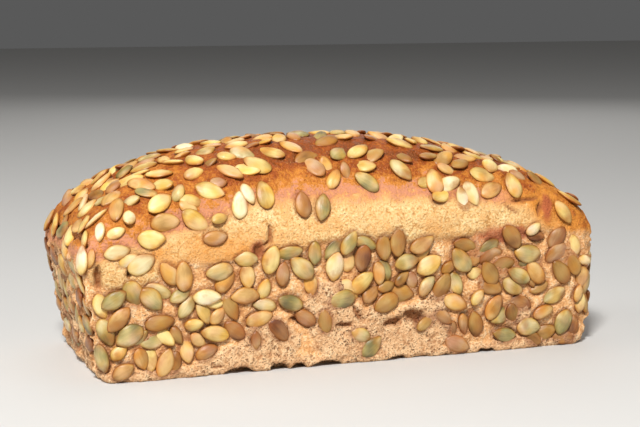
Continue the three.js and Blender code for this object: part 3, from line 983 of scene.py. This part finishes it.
def end_roughness(points, zones, beyond):
    """Relief of the shaggy crumb on the ends and of the crack over it, and how much painted shade its hollows
    and crack get.
    """
    shaggy = uneven(points, SHAGGY)
    # It creeps over the edges of the kernels, but not over their middles.
    shaggy = np.where(shaggy > 0, shaggy * smoothstep(beyond, -2.5 * MM, 0), shaggy)
    share = smoothstep(points[:, 2], 0, 5 * MM) * zones["on_end"] * zones["belt"]
    crack = swell(points[:, 2] + MM * uneven(points, CRACK_EDGE), END_CRACK, END_CRACK_WIDTH)
    crack = crack * smoothstep(uneven(points, CRACKED_PLACES), -0.3, 0.2) * zones["on_end"]
    hollow = smoothstep(-shaggy, 0.1, 0.45) * share
    return END_ROUGHNESS * shaggy * share - END_CRACK_DEPTH * crack, np.maximum(0.85 * hollow, 0.9 * crack)


def spring_at(points):
    """How far the band sprang out of the tin over the belt."""
    shape = swell(points[:, 2], SPRING_HEIGHT, SPRING_RISE) * swell(points[:, 0], SPRING_PLACE, SPRING_REACH)
    return sizes().spring_bulge * shape * (1 - end_share(outward_at(points)))


def standing(noises, heights):
    """How high the lumps of those noises stand, from their heights in millimetres."""
    return MM * sum(height * noise for height, noise in zip(heights, noises))


def crust_relief(points, zones, beyond):
    """How far the bread stands over its plain form, and how much painted shade its pits, cracks and hollows
    get.
    """
    belt, bare, browning = zones["belt"], zones["bare"], zones["browning"]
    noises = [lumps(points, size * MM, start) for size, start in LUMPS]
    fine, middle, broad, _ = noises
    island = smoothstep(broad + 0.3 * middle, 0.05, 0.35)
    along = smoothstep(place_on_side(points), ISLANDS_FROM, ISLANDS_FULL)
    island = island * along * (1 - zones["on_end"])
    sink = sizes().belt_sink * lerp(1, END_SINK, zones["on_end"])
    dough = (sink - ISLAND_LOW) * island - sink
    dough = dough + standing(noises, DOUGH_LUMPS) * (1 - 0.8 * island) + standing(noises, DOUGH_GRAIN)
    pits = sum(smoothstep(lumps(points, size, start), low, 0.95) for size, start, low in PITS)
    # The crumb came away from the tin in layers, which leave ragged steps.
    layers = lumps(points, *LAYERS) + 0.35 * middle + 0.2 * fine
    cracks = swell(layers, 0.14, 0.05) * smoothstep(lumps(points, *CRACKED_LAYERS), -0.15, 0.25)
    crumb = 0.3 * MM + standing(noises, CRUMB_LUMPS) - PIT_DEPTH * pits
    crumb = crumb - LAYER_STEP * smoothstep(layers, 0.12, 0.2) - LAYER_CRACK * cracks
    band, crown = spring_at(points) + standing(noises, BAND_LUMPS), standing(noises, CROWN_LUMPS)
    risen = lerp(band, crown, smoothstep(browning, 0.15, 0.7))
    relief = lerp(risen, lerp(dough, crumb, bare), belt)
    groove = smoothstep(beyond, GROOVE_WIDTH, 0.2 * MM) * (1 - bare) * lerp(0.5, 1, belt)
    rough, hollow = end_roughness(points, zones, beyond)
    pits = np.maximum(pits, 0.9 * cracks) * bare * belt
    return relief + rough - GROOVE_DEPTH * groove, np.maximum(pits, hollow)


class LOAF_OT_crust(Operator):
    """Build the bread's crust: belt, bare crumb, smooth band and browned crown"""

    bl_idname = "loaf.crust"
    bl_label = "Crust"

    def execute(self, context):
        far_x, far_y = box_reach()
        height = loaf_height() + UNDER_BASE
        box, quads = box_lattice([round(side / sizes().cell) for side in (2 * far_x, 2 * far_y, height)])
        targets = box * np.array([far_x, far_y, height / 2])
        targets[:, 2] += height / 2 - UNDER_BASE
        points = onto_form(targets)
        outward = outward_at(points)
        zones = crust_zones(points, outward)
        beyond = beyond_kernels(points, placed_kernels())
        relief, pits = crust_relief(points, zones, beyond)
        depth, torn, ruddy = tornness(points)
        on_side = smoothstep(points[:, 2], 0, 0.5 * MM)
        worn = smoothstep(points[:, 2], WORN_HEIGHT, 0) * smoothstep(uneven(points, WORN_PLACES), 0.1, 0.7)
        points = points + outward * (relief * on_side - depth - WORN_DEPTH * worn)[:, None]
        points[:, 2] = np.maximum(points[:, 2], 0)
        values = {name: zones[name] for name in ("browning", "belt", "bare", "rosy")}
        # Painted shade in the pits, cracks, hollows and tears.
        values["painted_crevice_shade"] = np.maximum(pits * 0.8, torn * 0.85)
        # Painted contact shade near each kernel's outline.
        values["painted_contact_shade"] = smoothstep(beyond, CONTACT_SHADE_WIDTH, 0)
        values["ruddy"], values["toasted"] = ruddy, toasted_share(points)
        crust = build_mesh("crust", points, quads.tolist(), values, crust_material(colours()))
        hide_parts("loaf")
        return {"FINISHED"}


# Sizes of the crust's patterns: its blotches, patches and grain, the spacing of the specks of meal, which are
# partly painted glints, of the flecks of bran and of the fine and the wide pores, and the waves in the wide
# pores' rims and their reach.
BLOTCH, PATCH, GRAIN = 14 * MM, 4.5 * MM, 1.1 * MM
SPECK_SPACING, FLECK_SPACING = 1.4 * MM, 1.9 * MM
FINE_PORE_SPACING, WIDE_PORE_SPACING, PORE_WAVES = 1.1 * MM, 3.4 * MM, 1.6 * MM
PORE_WANDER = 2.2 * MM
CRUST_BUMP = 1.1 * MM


def crust_material(c):
    """Bread crust, wholegrain einkorn, baked against a tin and browned in the open above it.

    Dry and matt where it is crumb, with flecks of bran, and satin where it is browned. Its pores, pits,
    cracks, tears and hollows are painted with shade, the dough that meets a kernel gets painted contact
    shade, and the pale specks of meal are partly painted glints.
    """
    material, tree = empty_material("baked einkorn crust")
    place = add(tree, PLACE, out="Object")
    zone = {}
    for name in ("browning", "belt", "bare", "rosy", "painted_crevice_shade", "painted_contact_shade", "ruddy", "toasted"):
        zone[name] = add(tree, ATTRIBUTE, out="Fac", attribute_name=name)
    blotch, patchy, grain = (
        add(tree, NOISE, {"Vector": place, "Scale": 1 / size, "Detail": detail, "Roughness": 0.6})
        for size, detail in ((BLOTCH, 4), (PATCH, 4), (GRAIN, 3))
    )
    # The crust browned unevenly, more so where it browned more.
    centred = [
        add(tree, MATH, {0: noise, 1: most, 2: -most / 2}, operation="MULTIPLY_ADD")
        for noise, most in ((blotch, 1.1), (grain, 0.9), (patchy, 0.9))
    ]
    mottling = add(tree, MATH, {0: centred[0], 1: centred[1]}, operation="ADD")
    mottling = add(tree, MATH, {0: mottling, 1: centred[2]}, operation="ADD")
    strength = add(tree, RANGE, {0: zone["browning"], 1: 0, 2: 0.4, 3: 0.25, 4: 0.7})
    mottling = add(tree, MATH, {0: mottling, 1: strength}, operation="MULTIPLY")
    baked = add(tree, MATH, {0: zone["browning"], 1: 0.86, 2: mottling}, operation="MULTIPLY_ADD")
    stops = ((0, c.band), (0.2, c.gold), (0.52, c.shoulder), (0.8, c.crown), (1, c.scorched))
    skin = add(tree, RAMP, {"Fac": baked}, stops=stops)
    # Between the band and the browning lies a rosy edge.
    blushing = add(tree, RANGE, {0: baked, 1: 0.12, 2: 0.32, 3: 0, 4: 0.95})
    fading = add(tree, RANGE, {0: baked, 1: 0.38, 2: 0.54, 3: 1, 4: 0})
    blushing = add(tree, MATH, {0: blushing, 1: fading}, operation="MULTIPLY")
    blushing = add(tree, MATH, {0: blushing, 1: zone["rosy"]}, operation="MULTIPLY")
    skin = add(tree, MIX, {0: blushing, 6: skin, 7: c.blush}, out=2, data_type="RGBA")
    # The smooth band, the dough and the crumb are mealy: pale grains among darker ones.
    mealy = add(tree, MATH, {0: grain, 1: 0.55}, operation="MULTIPLY")
    mealy = add(tree, MATH, {0: patchy, 1: 0.45, 2: mealy}, operation="MULTIPLY_ADD")
    sandy = add(tree, RAMP, {"Fac": mealy}, stops=((0.4, c.band_shade), (0.5, c.band), (0.6, c.band_light)))
    golden = add(tree, MATH, {0: blotch, 1: patchy}, operation="ADD")
    golden = add(tree, RANGE, {0: golden, 1: 0.92, 2: 1.2, 3: 0, 4: 0.65})
    inputs = {0: zone["toasted"], 1: 0.75, 2: golden}
    golden = add(tree, MATH, inputs, operation="MULTIPLY_ADD", use_clamp=True)
    sandy = add(tree, MIX, {0: golden, 6: sandy, 7: c.gold}, out=2, data_type="RGBA")
    in_band = add(tree, RANGE, {0: zone["browning"], 1: 0.05, 2: 0.3, 3: 1, 4: 0})
    skin = add(tree, MIX, {0: in_band, 6: skin, 7: sandy}, out=2, data_type="RGBA")
    stops = ((0.4, c.dough_shade), (0.5, c.dough), (0.62, c.crumb_light))
    dough = add(tree, RAMP, {"Fac": mealy}, stops=stops)
    stops = ((0.36, c.crumb_shade), (0.5, c.crumb), (0.64, c.crumb_light))
    crumb = add(tree, RAMP, {"Fac": mealy}, stops=stops)
    bread = add(tree, MIX, {0: zone["belt"], 6: skin, 7: dough}, out=2, data_type="RGBA")
    in_crumb = add(tree, MATH, {0: zone["belt"], 1: zone["bare"]}, operation="MULTIPLY")
    bread = add(tree, MIX, {0: in_crumb, 6: bread, 7: crumb}, out=2, data_type="RGBA")
    reddened = add(tree, MATH, {0: zone["ruddy"], 1: 0.8}, operation="MULTIPLY")
    bread = add(tree, MIX, {0: reddened, 6: bread, 7: c.ruddy}, out=2, data_type="RGBA")
    # Pale specks of meal on the browned crust, 0.5 mm wide, partly painted glints.
    specks = add(tree, CELLS, {"Vector": place, "Scale": 1 / SPECK_SPACING, "Randomness": 1})
    meal_and_glints = add(tree, RANGE, {0: specks, 1: 0.1, 2: 0.24, 3: 0.7, 4: 0})
    floury = add(tree, RANGE, {0: zone["browning"], 1: 0.2, 2: 0.6, 3: 0, 4: 1})
    meal_and_glints = add(tree, MATH, {0: meal_and_glints, 1: floury}, operation="MULTIPLY")
    in_patches = add(tree, RANGE, {0: patchy, 1: 0.42, 2: 0.6, 3: 0.15, 4: 1})
    meal_and_glints = add(tree, MATH, {0: meal_and_glints, 1: in_patches}, operation="MULTIPLY")
    bread = add(tree, MIX, {0: meal_and_glints, 6: bread, 7: c.meal_and_glints}, out=2, data_type="RGBA")
    # Flecks of bran, 0.6 mm wide, in clusters.
    flecks = add(tree, CELLS, {"Vector": place, "Scale": 1 / FLECK_SPACING, "Randomness": 1})
    bran = add(tree, RANGE, {0: flecks, 1: 0.1, 2: 0.26, 3: 0.9, 4: 0})
    clustered = add(tree, RANGE, {0: patchy, 1: 0.44, 2: 0.64, 3: 0.05, 4: 0.95})
    bran = add(tree, MATH, {0: bran, 1: clustered}, operation="MULTIPLY")
    bread = add(tree, MIX, {0: bran, 6: bread, 7: c.bran}, out=2, data_type="RGBA")
    # Open pores in the bare crumb, painted as dark shade: fine ones 0.5 mm wide, and ragged ones of 1 to 1.5
    # mm.
    # Pits, cracks, tears and hollows get the same painted shade.
    ragged = add(tree, NOISE, {"Vector": place, "Scale": 1 / PORE_WAVES, "Detail": 2}, out="Color")
    ragged = add(tree, WARP, {0: ragged, 1: [PORE_WANDER] * 3, 2: place}, operation="MULTIPLY_ADD")
    fine = add(tree, CELLS, {"Vector": place, "Scale": 1 / FINE_PORE_SPACING, "Randomness": 1})
    fine = add(tree, RANGE, {0: fine, 1: 0.12, 2: 0.36, 3: 0.75, 4: 0})
    wide = add(tree, CELLS, {"Vector": ragged, "Scale": 1 / WIDE_PORE_SPACING, "Randomness": 1})
    wide = add(tree, RANGE, {0: wide, 1: 0.12, 2: 0.27, 3: 1, 4: 0})
    pore_shade = add(tree, MATH, {0: fine, 1: wide}, operation="MAXIMUM")
    porous = add(tree, RANGE, {0: zone["bare"], 1: 0, 2: 1, 3: 0.18, 4: 1})
    porous = add(tree, MATH, {0: zone["belt"], 1: porous}, operation="MULTIPLY")
    pore_shade = add(tree, MATH, {0: pore_shade, 1: porous}, operation="MULTIPLY")
    in_patches = add(tree, RANGE, {0: patchy, 1: 0.36, 2: 0.56, 3: 0.2, 4: 1})
    pore_shade = add(tree, MATH, {0: pore_shade, 1: in_patches}, operation="MULTIPLY")
    # Pores and crevices are painted with shade.
    pore_and_crevice_shade = add(tree, MATH, {0: pore_shade, 1: 0.8, 2: zone["painted_crevice_shade"]}, operation="MULTIPLY_ADD", use_clamp=True)
    bread = add(tree, MIX, {0: pore_and_crevice_shade, 6: bread, 7: c.pore_shade}, out=2, data_type="RGBA")
    # Painted contact shade: the dough that meets a kernel is darkened, less so on the crown.
    contact_shade_share = add(tree, RANGE, {0: zone["browning"], 1: 0, 2: 0.5, 3: 0.56, 4: 0.15})
    contact_shade_share = add(tree, MATH, {0: zone["painted_contact_shade"], 1: contact_shade_share}, operation="MULTIPLY")
    inputs = {0: contact_shade_share, 6: bread, 7: c.shade}
    bread = add(tree, MIX, inputs, out=2, data_type="RGBA", blend_type="MULTIPLY")
    roughness = add(tree, RANGE, {0: baked, 1: 0.3, 2: 0.9, 3: 0.85, 4: 0.45})
    height = add(tree, MATH, {0: grain, 1: pore_shade}, operation="SUBTRACT")
    height = add(tree, MATH, {0: patchy, 1: 1.2, 2: height}, operation="MULTIPLY_ADD")
    bump = add(tree, BUMP, {"Height": height, "Strength": 1, "Distance": CRUST_BUMP})
    look = add(tree, SHADER, {"Base Color": bread, "Roughness": roughness, "IOR": 1.38, "Normal": bump})
    add(tree, RESULT, {"Surface": look})
    return material


# ---- Kernels ---------------------------------------------------------------------------------------------

# The darkest and the palest kernel of a kind, as a place on its ramp. Then how much paler those on the crown
# are and the brown ones there, and the painted shade that darkens those near the foot from one height down to
# the other.
TONES = (0.3, 0.8)
CROWN_TONE = -0.04
BROWN_CROWN_TONE = 0.34
FOOT_PAINTED_SHADE = -0.1
FOOT_SHADE_FROM, FOOT_SHADE_BELOW = 36 * MM, 16 * MM

# Where the draws of the kernels' kinds and traits start, and between which places along a side the kinds'
# shares change.
KIND_START, TRAIT_START = 77, 911
KINDS_FROM, KINDS_TO = -60 * MM, 60 * MM

# The kernels on the crown are drier and thinner, and so are those shorter than this.
CROWN_THINNESS = 0.82
FULLY_THICK = 10 * MM

# How deep a kernel's skin is wrinkled, and the wrinkles' sizes and starts. How lumpy its form is and how far
# its width varies, as shares. Each kernel's noise is moved on by one step more, so that no two are alike.
WRINKLE = 0.16 * MM
WIDE_WRINKLES, FINE_WRINKLES = (3.2 * MM, 32), (1.4 * MM, 33)
KERNEL_LUMPS = (5 * MM, 31)
LUMPINESS = 0.05
WIDTH_SCATTER = 0.12
OWN_STEP = 50 * MM

# How pointed and how lens-like a kernel's outline is, each as its usual value and how far a drawn trait
# moves it, and how far traits move its thickness, its bend and its skew. Its narrow tip is a little longer.
POINTED = (0.1, 0.07)
LENS = (1.22, 0.18)
PLUMPNESS, BEND, SKEW = 0.2, 0.12, 0.06
BEND_MIDDLE = 0.3
TIP_REACH, TIP_SHARPNESS = 0.03, 8

# A kernel's rings from its middle outwards and round underneath: share of its reach, and of its thickness.
KERNEL_RINGS = (
    (0.3, 0.478),
    (0.55, 0.42),
    (0.75, 0.335),
    (0.87, 0.25),
    (0.95, 0.16),
    (1.0, 0.03),
    (0.94, -0.17),
    (0.6, -0.38),
)

# The tint that the skin takes where it is toasted, those that it is multiplied by where it turned golden or
# rosy or has a bloom, and how far it darkens from the middle to the rim and underneath: partly browning, and
# partly painted shade.
STAIN = "#a66a2e"
GOLDEN_TINGE = "#fde096"
ROSY_TINGE = "#f2d4e8"
GREY_BLOOM = "#d3dbd2"
BLOOMY_KIND = "green"
RIM_BROWNING_AND_SHADE = ((0.0, "#ffffff"), (0.7, "#ffffff"), (0.9, "#f2e6cc"), (0.98, "#dcbc90"), (1.0, "#b08048"))

# Sizes of the kernels' patterns: the drift of colour, the veins, the stains, the golden and rosy tinges and
# the bloom. The veins are this many times narrower than they are long.
DRIFT, VEINS, STAINS = 12 * MM, 6 * MM, 7 * MM
GOLDEN_SIZE, ROSY_SIZE, BLOOM_SIZE = 8 * MM, 10 * MM, 7 * MM
VEIN_NARROWING = 5
KERNEL_BUMP = 0.4 * MM

# Each kind: sRGB colours along its ramp, and its share of the kernels at the belt's left end, at its right
# end and on the crown.
KERNEL_KINDS = {
    "cream": (("#d1b682", "#ddc997", "#e5d5a7", "#eaddb4", "#eee3c1"), 0.03, 0.01, 0.07),
    "pale": (("#b69756", "#ceb169", "#dec27c", "#e6cc86", "#ecd699"), 0.25, 0.12, 0.32),
    "golden": (("#ac8249", "#c59c5e", "#d3ab6e", "#dab576", "#e1c089"), 0.18, 0.15, 0.25),
    "green": (("#7f774d", "#a4955e", "#c1ab73", "#d0b983", "#dcc897"), 0.37, 0.26, 0.18),
    "olive": (("#7c5828", "#987138", "#a78045", "#b18a4e", "#bb975c"), 0.12, 0.28, 0.1),
    "brown": (("#70482d", "#90623c", "#a4784d", "#b38a5f", "#c09a73"), 0.05, 0.18, 0.08),
}


def choose_kinds(kernels):
    """The kind of each kernel whose kind isn't known, by repeatable draws."""
    picks = np.array(draws(KIND_START, len(kernels["length"])))
    kinds = list(KERNEL_KINDS)
    shares = np.array([row[1:] for row in KERNEL_KINDS.values()])
    along = smoothstep(place_on_side(kernels["point"]), KINDS_FROM, KINDS_TO)
    names = []
    for pick, crown, known, at in zip(picks, kernels["crown"], kernels["kind"], along):
        limits = np.cumsum(lerp(lerp(shares[:, 0], shares[:, 1], at), shares[:, 2], crown))
        names.append(known or kinds[min(int(np.searchsorted(limits, pick * limits[-1])), len(kinds) - 1)])
    return np.array(names)


def kernel_outline(sides, pointed, lens):
    """A kernel's outline at half length and half width 1: broad at -X and narrower at +X."""
    angles = np.arange(sides) / sides * 2 * np.pi
    x, y = np.cos(angles), np.sin(angles)
    drawn_out = TIP_REACH * np.clip(x, 0, 1) ** TIP_SHARPNESS
    return x + drawn_out, np.sign(y) * np.abs(y) ** lens * (1 - pointed * x)


def kernel_shape(sides, thick, traits):
    """Points of one kernel in its own frame, for half length and half width 1, with its drawn traits."""
    bend, plump, skew, pointed, lens = traits
    x, y = kernel_outline(sides, POINTED[0] + POINTED[1] * pointed, LENS[0] + LENS[1] * lens)
    points, shares = [], []
    for reach, level in ((0.0, 0.5), *KERNEL_RINGS, (0.0, -0.46)):
        ring = np.stack([x * reach, y * reach, 0 * x + level * thick * (1 + PLUMPNESS * plump)], 1)
        ring = ring[:1] if reach == 0 else ring
        points.append(ring)
        # Points underneath get a share past the rim, so that the rim's browning and painted shade reach them.
        shares.append(np.full(len(ring), reach if level >= 0 else 1.1))
    points = np.concatenate(points)
    points[:, 1] += BEND * bend * (points[:, 0] ** 2 - BEND_MIDDLE) + SKEW * skew * points[:, 0]
    return points, np.concatenate(shares)


def kernel_faces(sides):
    """Triangles and quads between a kernel's rings."""
    rings = len(KERNEL_RINGS)
    step = np.arange(sides)
    following = (step + 1) % sides
    top = [(0, 1 + a, 1 + b) for a, b in zip(step, following)]
    walls = []
    for ring in range(rings - 1):
        here, below = 1 + ring * sides, 1 + (ring + 1) * sides
        walls += [(here + b, here + a, below + a, below + b) for a, b in zip(step, following)]
    last = 1 + (rings - 1) * sides
    bottom = [(last + b, last + a, 1 + rings * sides) for a, b in zip(step, following)]
    return top, walls, bottom


def turned(points, about_length, about_width):
    """Points turned about the kernel's length, and then about its width."""
    ca, sa = math.cos(about_length), math.sin(about_length)
    cb, sb = math.cos(about_width), math.sin(about_width)
    x, y, z = points.T
    y, z = y * ca - z * sa, y * sa + z * ca
    x, z = x * cb - z * sb, x * sb + z * cb
    return np.stack([x, y, z], 1)


def leaning_frame(kernels, i):
    """One kernel's directions along, across and out of it, leaning towards the kernels that overlap it."""
    out, along = kernels["out"][i], kernels["along"][i]
    lean = LEAN * (kernels["lean"][i] - out * (kernels["lean"][i] @ out))
    steepest = STEEPEST_LEAN if i >= KERNELS_PACKED else PACKED_LEAN
    lean = lean * min(1, steepest / (np.linalg.norm(lean) + 1e-9))
    leaning = unit(out + lean)
    along = unit(along - leaning * (along @ leaning))
    return np.stack([along, np.cross(leaning, along), leaning])


def wrinkled(local, own):
    """One kernel's points with its lumps and its skin's wrinkles, from the noise at its own place."""
    local = local * (1 + LUMPINESS * lumps(own, *KERNEL_LUMPS))[:, None]
    local[:, 2] += WRINKLE * lumps(own * np.array([1, 2, 1]), *WIDE_WRINKLES)
    local[:, 2] += WRINKLE * 0.5 * lumps(own, *FINE_WRINKLES)
    return local


def kernel_height(kernels, i, sprung):
    """How far one kernel's middle stands out of the plain form."""
    proud = lerp(BELT_PROUD, CROWN_PROUD, kernels["crown"][i]) - PACKED_THICKNESS / 2 + sprung
    if i < KERNELS_PACKED:
        return proud
    return proud - lerp(1, CROWN_TUCK, kernels["over"][i]) * min(TUCK * kernels["tuck"][i], DEEPEST_TUCK)


def gather_kernels(kernels, chosen, crown_tone):
    """Points, faces and values of the chosen kernels as one mesh."""
    s = sizes()
    sprung = spring_at(kernels["point"])
    # Painted shade on the kernels near the foot, darker towards the base.
    low = smoothstep(kernels["point"][:, 2], FOOT_SHADE_FROM, FOOT_SHADE_BELOW)
    top, walls, bottom = kernel_faces(s.kernel_sides)
    traits = 2 * np.array(draws(TRAIT_START, 7 * len(kernels["length"]))).reshape(-1, 7) - 1
    points, faces = [], []
    values = {name: [] for name in ("tone", "edge", "tip", "grain")}
    for i in np.nonzero(chosen)[0]:
        crown, own_step = kernels["crown"][i], np.array([i * OWN_STEP, 0, 0])
        reach = kernels["length"][i] / 2
        thick = s.kernel_thickness * lerp(1, CROWN_THINNESS, crown) * min(1, 2 * reach / FULLY_THICK)
        shape, share = kernel_shape(s.kernel_sides, thick, traits[i, :5])
        wide = reach * s.kernel_width * (1 + WIDTH_SCATTER * traits[i, 5])
        local = shape * np.array([reach, wide, 1])
        local = wrinkled(local, local + own_step)
        tilt = lerp(BELT_TILT, CROWN_TILT, crown) * kernels["tilts"][i]
        tilt = tilt * (lerp(*EXTRA_TILTS, crown) if i >= KERNELS_PACKED else 1)
        world = turned(local, *tilt) @ leaning_frame(kernels, i) + kernels["point"][i]
        start = sum(len(rows) for rows in points)
        faces += [tuple(start + v for v in face) for face in (*top, *walls, *bottom)]
        points.append(world + kernels["out"][i] * kernel_height(kernels, i, sprung[i]))
        tone = lerp(*TONES, (traits[i, 6] + 1) / 2) + crown_tone * crown + FOOT_PAINTED_SHADE * low[i]
        values["tone"].append(np.full(len(world), tone))
        values["edge"].append(share)
        values["tip"].append(shape[:, 0] * math.copysign(1, traits[i, 2]))
        values["grain"].append(local + own_step)
    return np.concatenate(points), faces, {label: np.concatenate(rows) for label, rows in values.items()}


def kernel_material(kind):
    """Pumpkin kernel, hulled and roasted on the loaf: a smooth skin that browns towards its rim.

    Satin, with a soft highlight along the crown of each kernel; its colour drifts from end to end. Painted
    shade darkens its rim and underside along with the browning.
    """
    tints = [linear(code) for code in KERNEL_KINDS[kind][0]]
    material, tree = empty_material(f"pumpkin kernel {kind}")
    labels = ("tone", "edge", "tip")
    tone, edge, tip = (add(tree, ATTRIBUTE, out="Fac", attribute_name=label) for label in labels)
    grain = add(tree, ATTRIBUTE, out="Vector", attribute_name="grain")
    # A drift of colour over the kernel, and veins along it.
    drift = add(tree, NOISE, {"Vector": grain, "Scale": 1 / DRIFT, "Detail": 1})
    drawn = add(tree, SCALING, {"Vector": grain, "Scale": (1, VEIN_NARROWING, VEIN_NARROWING)})
    veins = add(tree, NOISE, {"Vector": drawn, "Scale": 1 / VEINS, "Detail": 4, "Roughness": 0.6})
    shift = add(tree, MATH, {0: drift, 1: 2.2, 2: -1.1}, operation="MULTIPLY_ADD")
    veined = add(tree, MATH, {0: veins, 1: 0.6, 2: -0.3}, operation="MULTIPLY_ADD")
    mixed = add(tree, MATH, {0: tone, 1: shift}, operation="ADD")
    mixed = add(tree, MATH, {0: mixed, 1: veined}, operation="ADD")
    skin = add(tree, RAMP, {"Fac": mixed}, stops=[(0.25 * i, tint) for i, tint in enumerate(tints)])
    # Golden and rosy tinges, and on the green kind a grey bloom.
    tinges = (
        (GOLDEN_SIZE, GOLDEN_TINGE, 0.8),
        (ROSY_SIZE, ROSY_TINGE, 0.6),
        (BLOOM_SIZE, GREY_BLOOM, 0.7 if kind == BLOOMY_KIND else 0),
    )
    for size, tinge, most in tinges:
        share = add(tree, NOISE, {"Vector": grain, "Scale": 1 / size, "Detail": 1})
        share = add(tree, RANGE, {0: share, 1: 0.46, 2: 0.64, 3: 0, 4: most})
        inputs = {0: share, 6: skin, 7: linear(tinge)}
        skin = add(tree, MIX, inputs, out=2, data_type="RGBA", blend_type="MULTIPLY")
    # Toasted stains, which reach in from the rim and from one end.
    stains = add(tree, NOISE, {"Vector": grain, "Scale": 1 / STAINS, "Detail": 3, "Roughness": 0.55})
    stained = add(tree, MATH, {0: edge, 1: 0.1, 2: stains}, operation="MULTIPLY_ADD")
    stained = add(tree, MATH, {0: tip, 1: 0.17, 2: stained}, operation="MULTIPLY_ADD")
    stained = add(tree, RANGE, {0: stained, 1: 0.6, 2: 0.84, 3: 0, 4: 0.7})
    skin = add(tree, MIX, {0: stained, 6: skin, 7: linear(STAIN)}, out=2, data_type="RGBA")
    # The rim and the underside darken, partly browning and partly painted shade.
    rim = add(tree, RAMP, {"Fac": edge}, stops=[(place, linear(code)) for place, code in RIM_BROWNING_AND_SHADE])
    inputs = {0: 1.0, 6: skin, 7: rim}
    shaded = add(tree, MIX, inputs, out=2, data_type="RGBA", blend_type="MULTIPLY")
    bump = add(tree, BUMP, {"Height": veins, "Strength": 0.5, "Distance": KERNEL_BUMP})
    look = add(tree, SHADER, {"Base Color": shaded, "Roughness": 0.4, "IOR": 1.42, "Normal": bump})
    add(tree, RESULT, {"Surface": look})
    return material


class LOAF_OT_kernels(Operator):
    """Press the pumpkin kernels into the crust, one piece for each kind"""

    bl_idname = "loaf.kernels"
    bl_label = "Kernels"

    def execute(self, context):
        kernels = placed_kernels()
        kinds = choose_kinds(kernels)
        for kind in KERNEL_KINDS:
            crown_tone = BROWN_CROWN_TONE if kind == "brown" else CROWN_TONE
            points, faces, values = gather_kernels(kernels, kinds == kind, crown_tone)
            piece = build_mesh(f"kernels_{kind}", points, faces, values, kernel_material(kind))
            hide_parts("loaf")
        return {"FINISHED"}


# ---- Studio ----------------------------------------------------------------------------------------------

# The floor reaches this far on each side, and an even white light fills the room.
FLOOR_REACH = 4
ROOM_LIGHT = 0.1

# Lights: name, place, size and power in watts, each aimed at the loaf's middle, which has this height.
AIM_HEIGHT = 50 * MM
LIGHTS = (
    ("key softbox", (-0.5, -0.92, 1.15), 0.26, 30),
    ("fill softbox", (1.05, -0.9, 0.55), 0.9, 3.2),
    ("top softbox", (0.1, 0.25, 1.3), 0.7, 2),
    ("side softbox", (-1.2, 0.4, 0.7), 0.9, 5.5),
    ("back softbox", (0.6, 1.3, 0.8), 1.0, 3),
)


class LOAF_OT_studio(Operator):
    """Set up the plain floor, the soft lights and the camera"""

    bl_idname = "loaf.studio"
    bl_label = "Studio"

    def execute(self, context):
        far = FLOOR_REACH
        floor_mesh = bpy.data.meshes.new("floor")
        corners = [(-far, -far, 0), (far, -far, 0), (far, far, 0), (-far, far, 0)]
        floor_mesh.from_pydata(corners, [], [(0, 1, 2, 3)])
        floor_mesh.materials.append(floor_material(colours()))
        put("floor", floor_mesh)
        middle = Vector((0, 0, AIM_HEIGHT))
        for name, place, size, power in LIGHTS:
            lamp = bpy.data.lights.new(name, "AREA")
            lamp.size, lamp.energy = size, power
            holder = put(name, lamp)
            holder.location = place
            holder.rotation_euler = (middle - Vector(place)).to_track_quat("-Z", "Y").to_euler()
        world = bpy.data.worlds.new("studio")
        world.use_nodes = True
        room = world.node_tree.nodes["Background"]
        room.inputs["Color"].default_value = (1, 1, 1, 1)
        room.inputs["Strength"].default_value = ROOM_LIGHT
        context.scene.world = world
        context.scene.view_settings.view_transform = "Standard"
        place_camera(context.scene)
        return {"FINISHED"}


def place_camera(scene):
    """The photograph's view of the loaf."""
    place, back, _, _ = (Vector(v) for v in camera_frame())
    lens = bpy.data.cameras.new("camera")
    lens.lens = CAMERA_LENS_MM
    lens.sensor_width = SENSOR_MM
    lens.clip_start = NEAREST_SEEN
    camera = put("camera", lens)
    camera.location = place
    camera.rotation_euler = (-back).to_track_quat("-Z", "Y").to_euler()
    scene.camera = camera


def floor_material(c):
    """Painted board, rolled with a matt finish: pale, and with no gloss to draw the eye."""
    material = bpy.data.materials.new("matt painted board")
    material.use_nodes = True
    shader = material.node_tree.nodes["Principled BSDF"]
    shader.inputs["Base Color"].default_value = c.floor
    shader.inputs["Roughness"].default_value = 0.8
    return material


# ---- Panel and registration ------------------------------------------------------------------------------

STEPS = ("loaf.studio", "loaf.crust", "loaf.kernels")


class LOAF_PT_panel(Panel):
    """The loaf's steps and values"""

    bl_label = "Seeded Tin Loaf"
    bl_space_type = "VIEW_3D"
    bl_region_type = "UI"
    bl_category = "Loaf"

    def draw(self, context):
        for step in STEPS:
            self.layout.operator(step)
        for group in (context.scene.loaf_sizes, context.scene.loaf_colours):
            column = self.layout.column()
            for name in group.__annotations__:
                column.prop(group, name)


CLASSES = (LoafSizes, LoafColours, LOAF_OT_studio, LOAF_OT_crust, LOAF_OT_kernels, LOAF_PT_panel)


def register():
    for item in CLASSES:
        bpy.utils.register_class(item)
    bpy.types.Scene.loaf_sizes = PointerProperty(type=LoafSizes)
    bpy.types.Scene.loaf_colours = PointerProperty(type=LoafColours)


def unregister():
    del bpy.types.Scene.loaf_colours
    del bpy.types.Scene.loaf_sizes
    for item in reversed(CLASSES):
        bpy.utils.unregister_class(item)


def main():
    register()
    for step in STEPS:
        family, name = step.split(".")
        getattr(getattr(bpy.ops, family), name)()


if __name__ == "__main__":
    main()
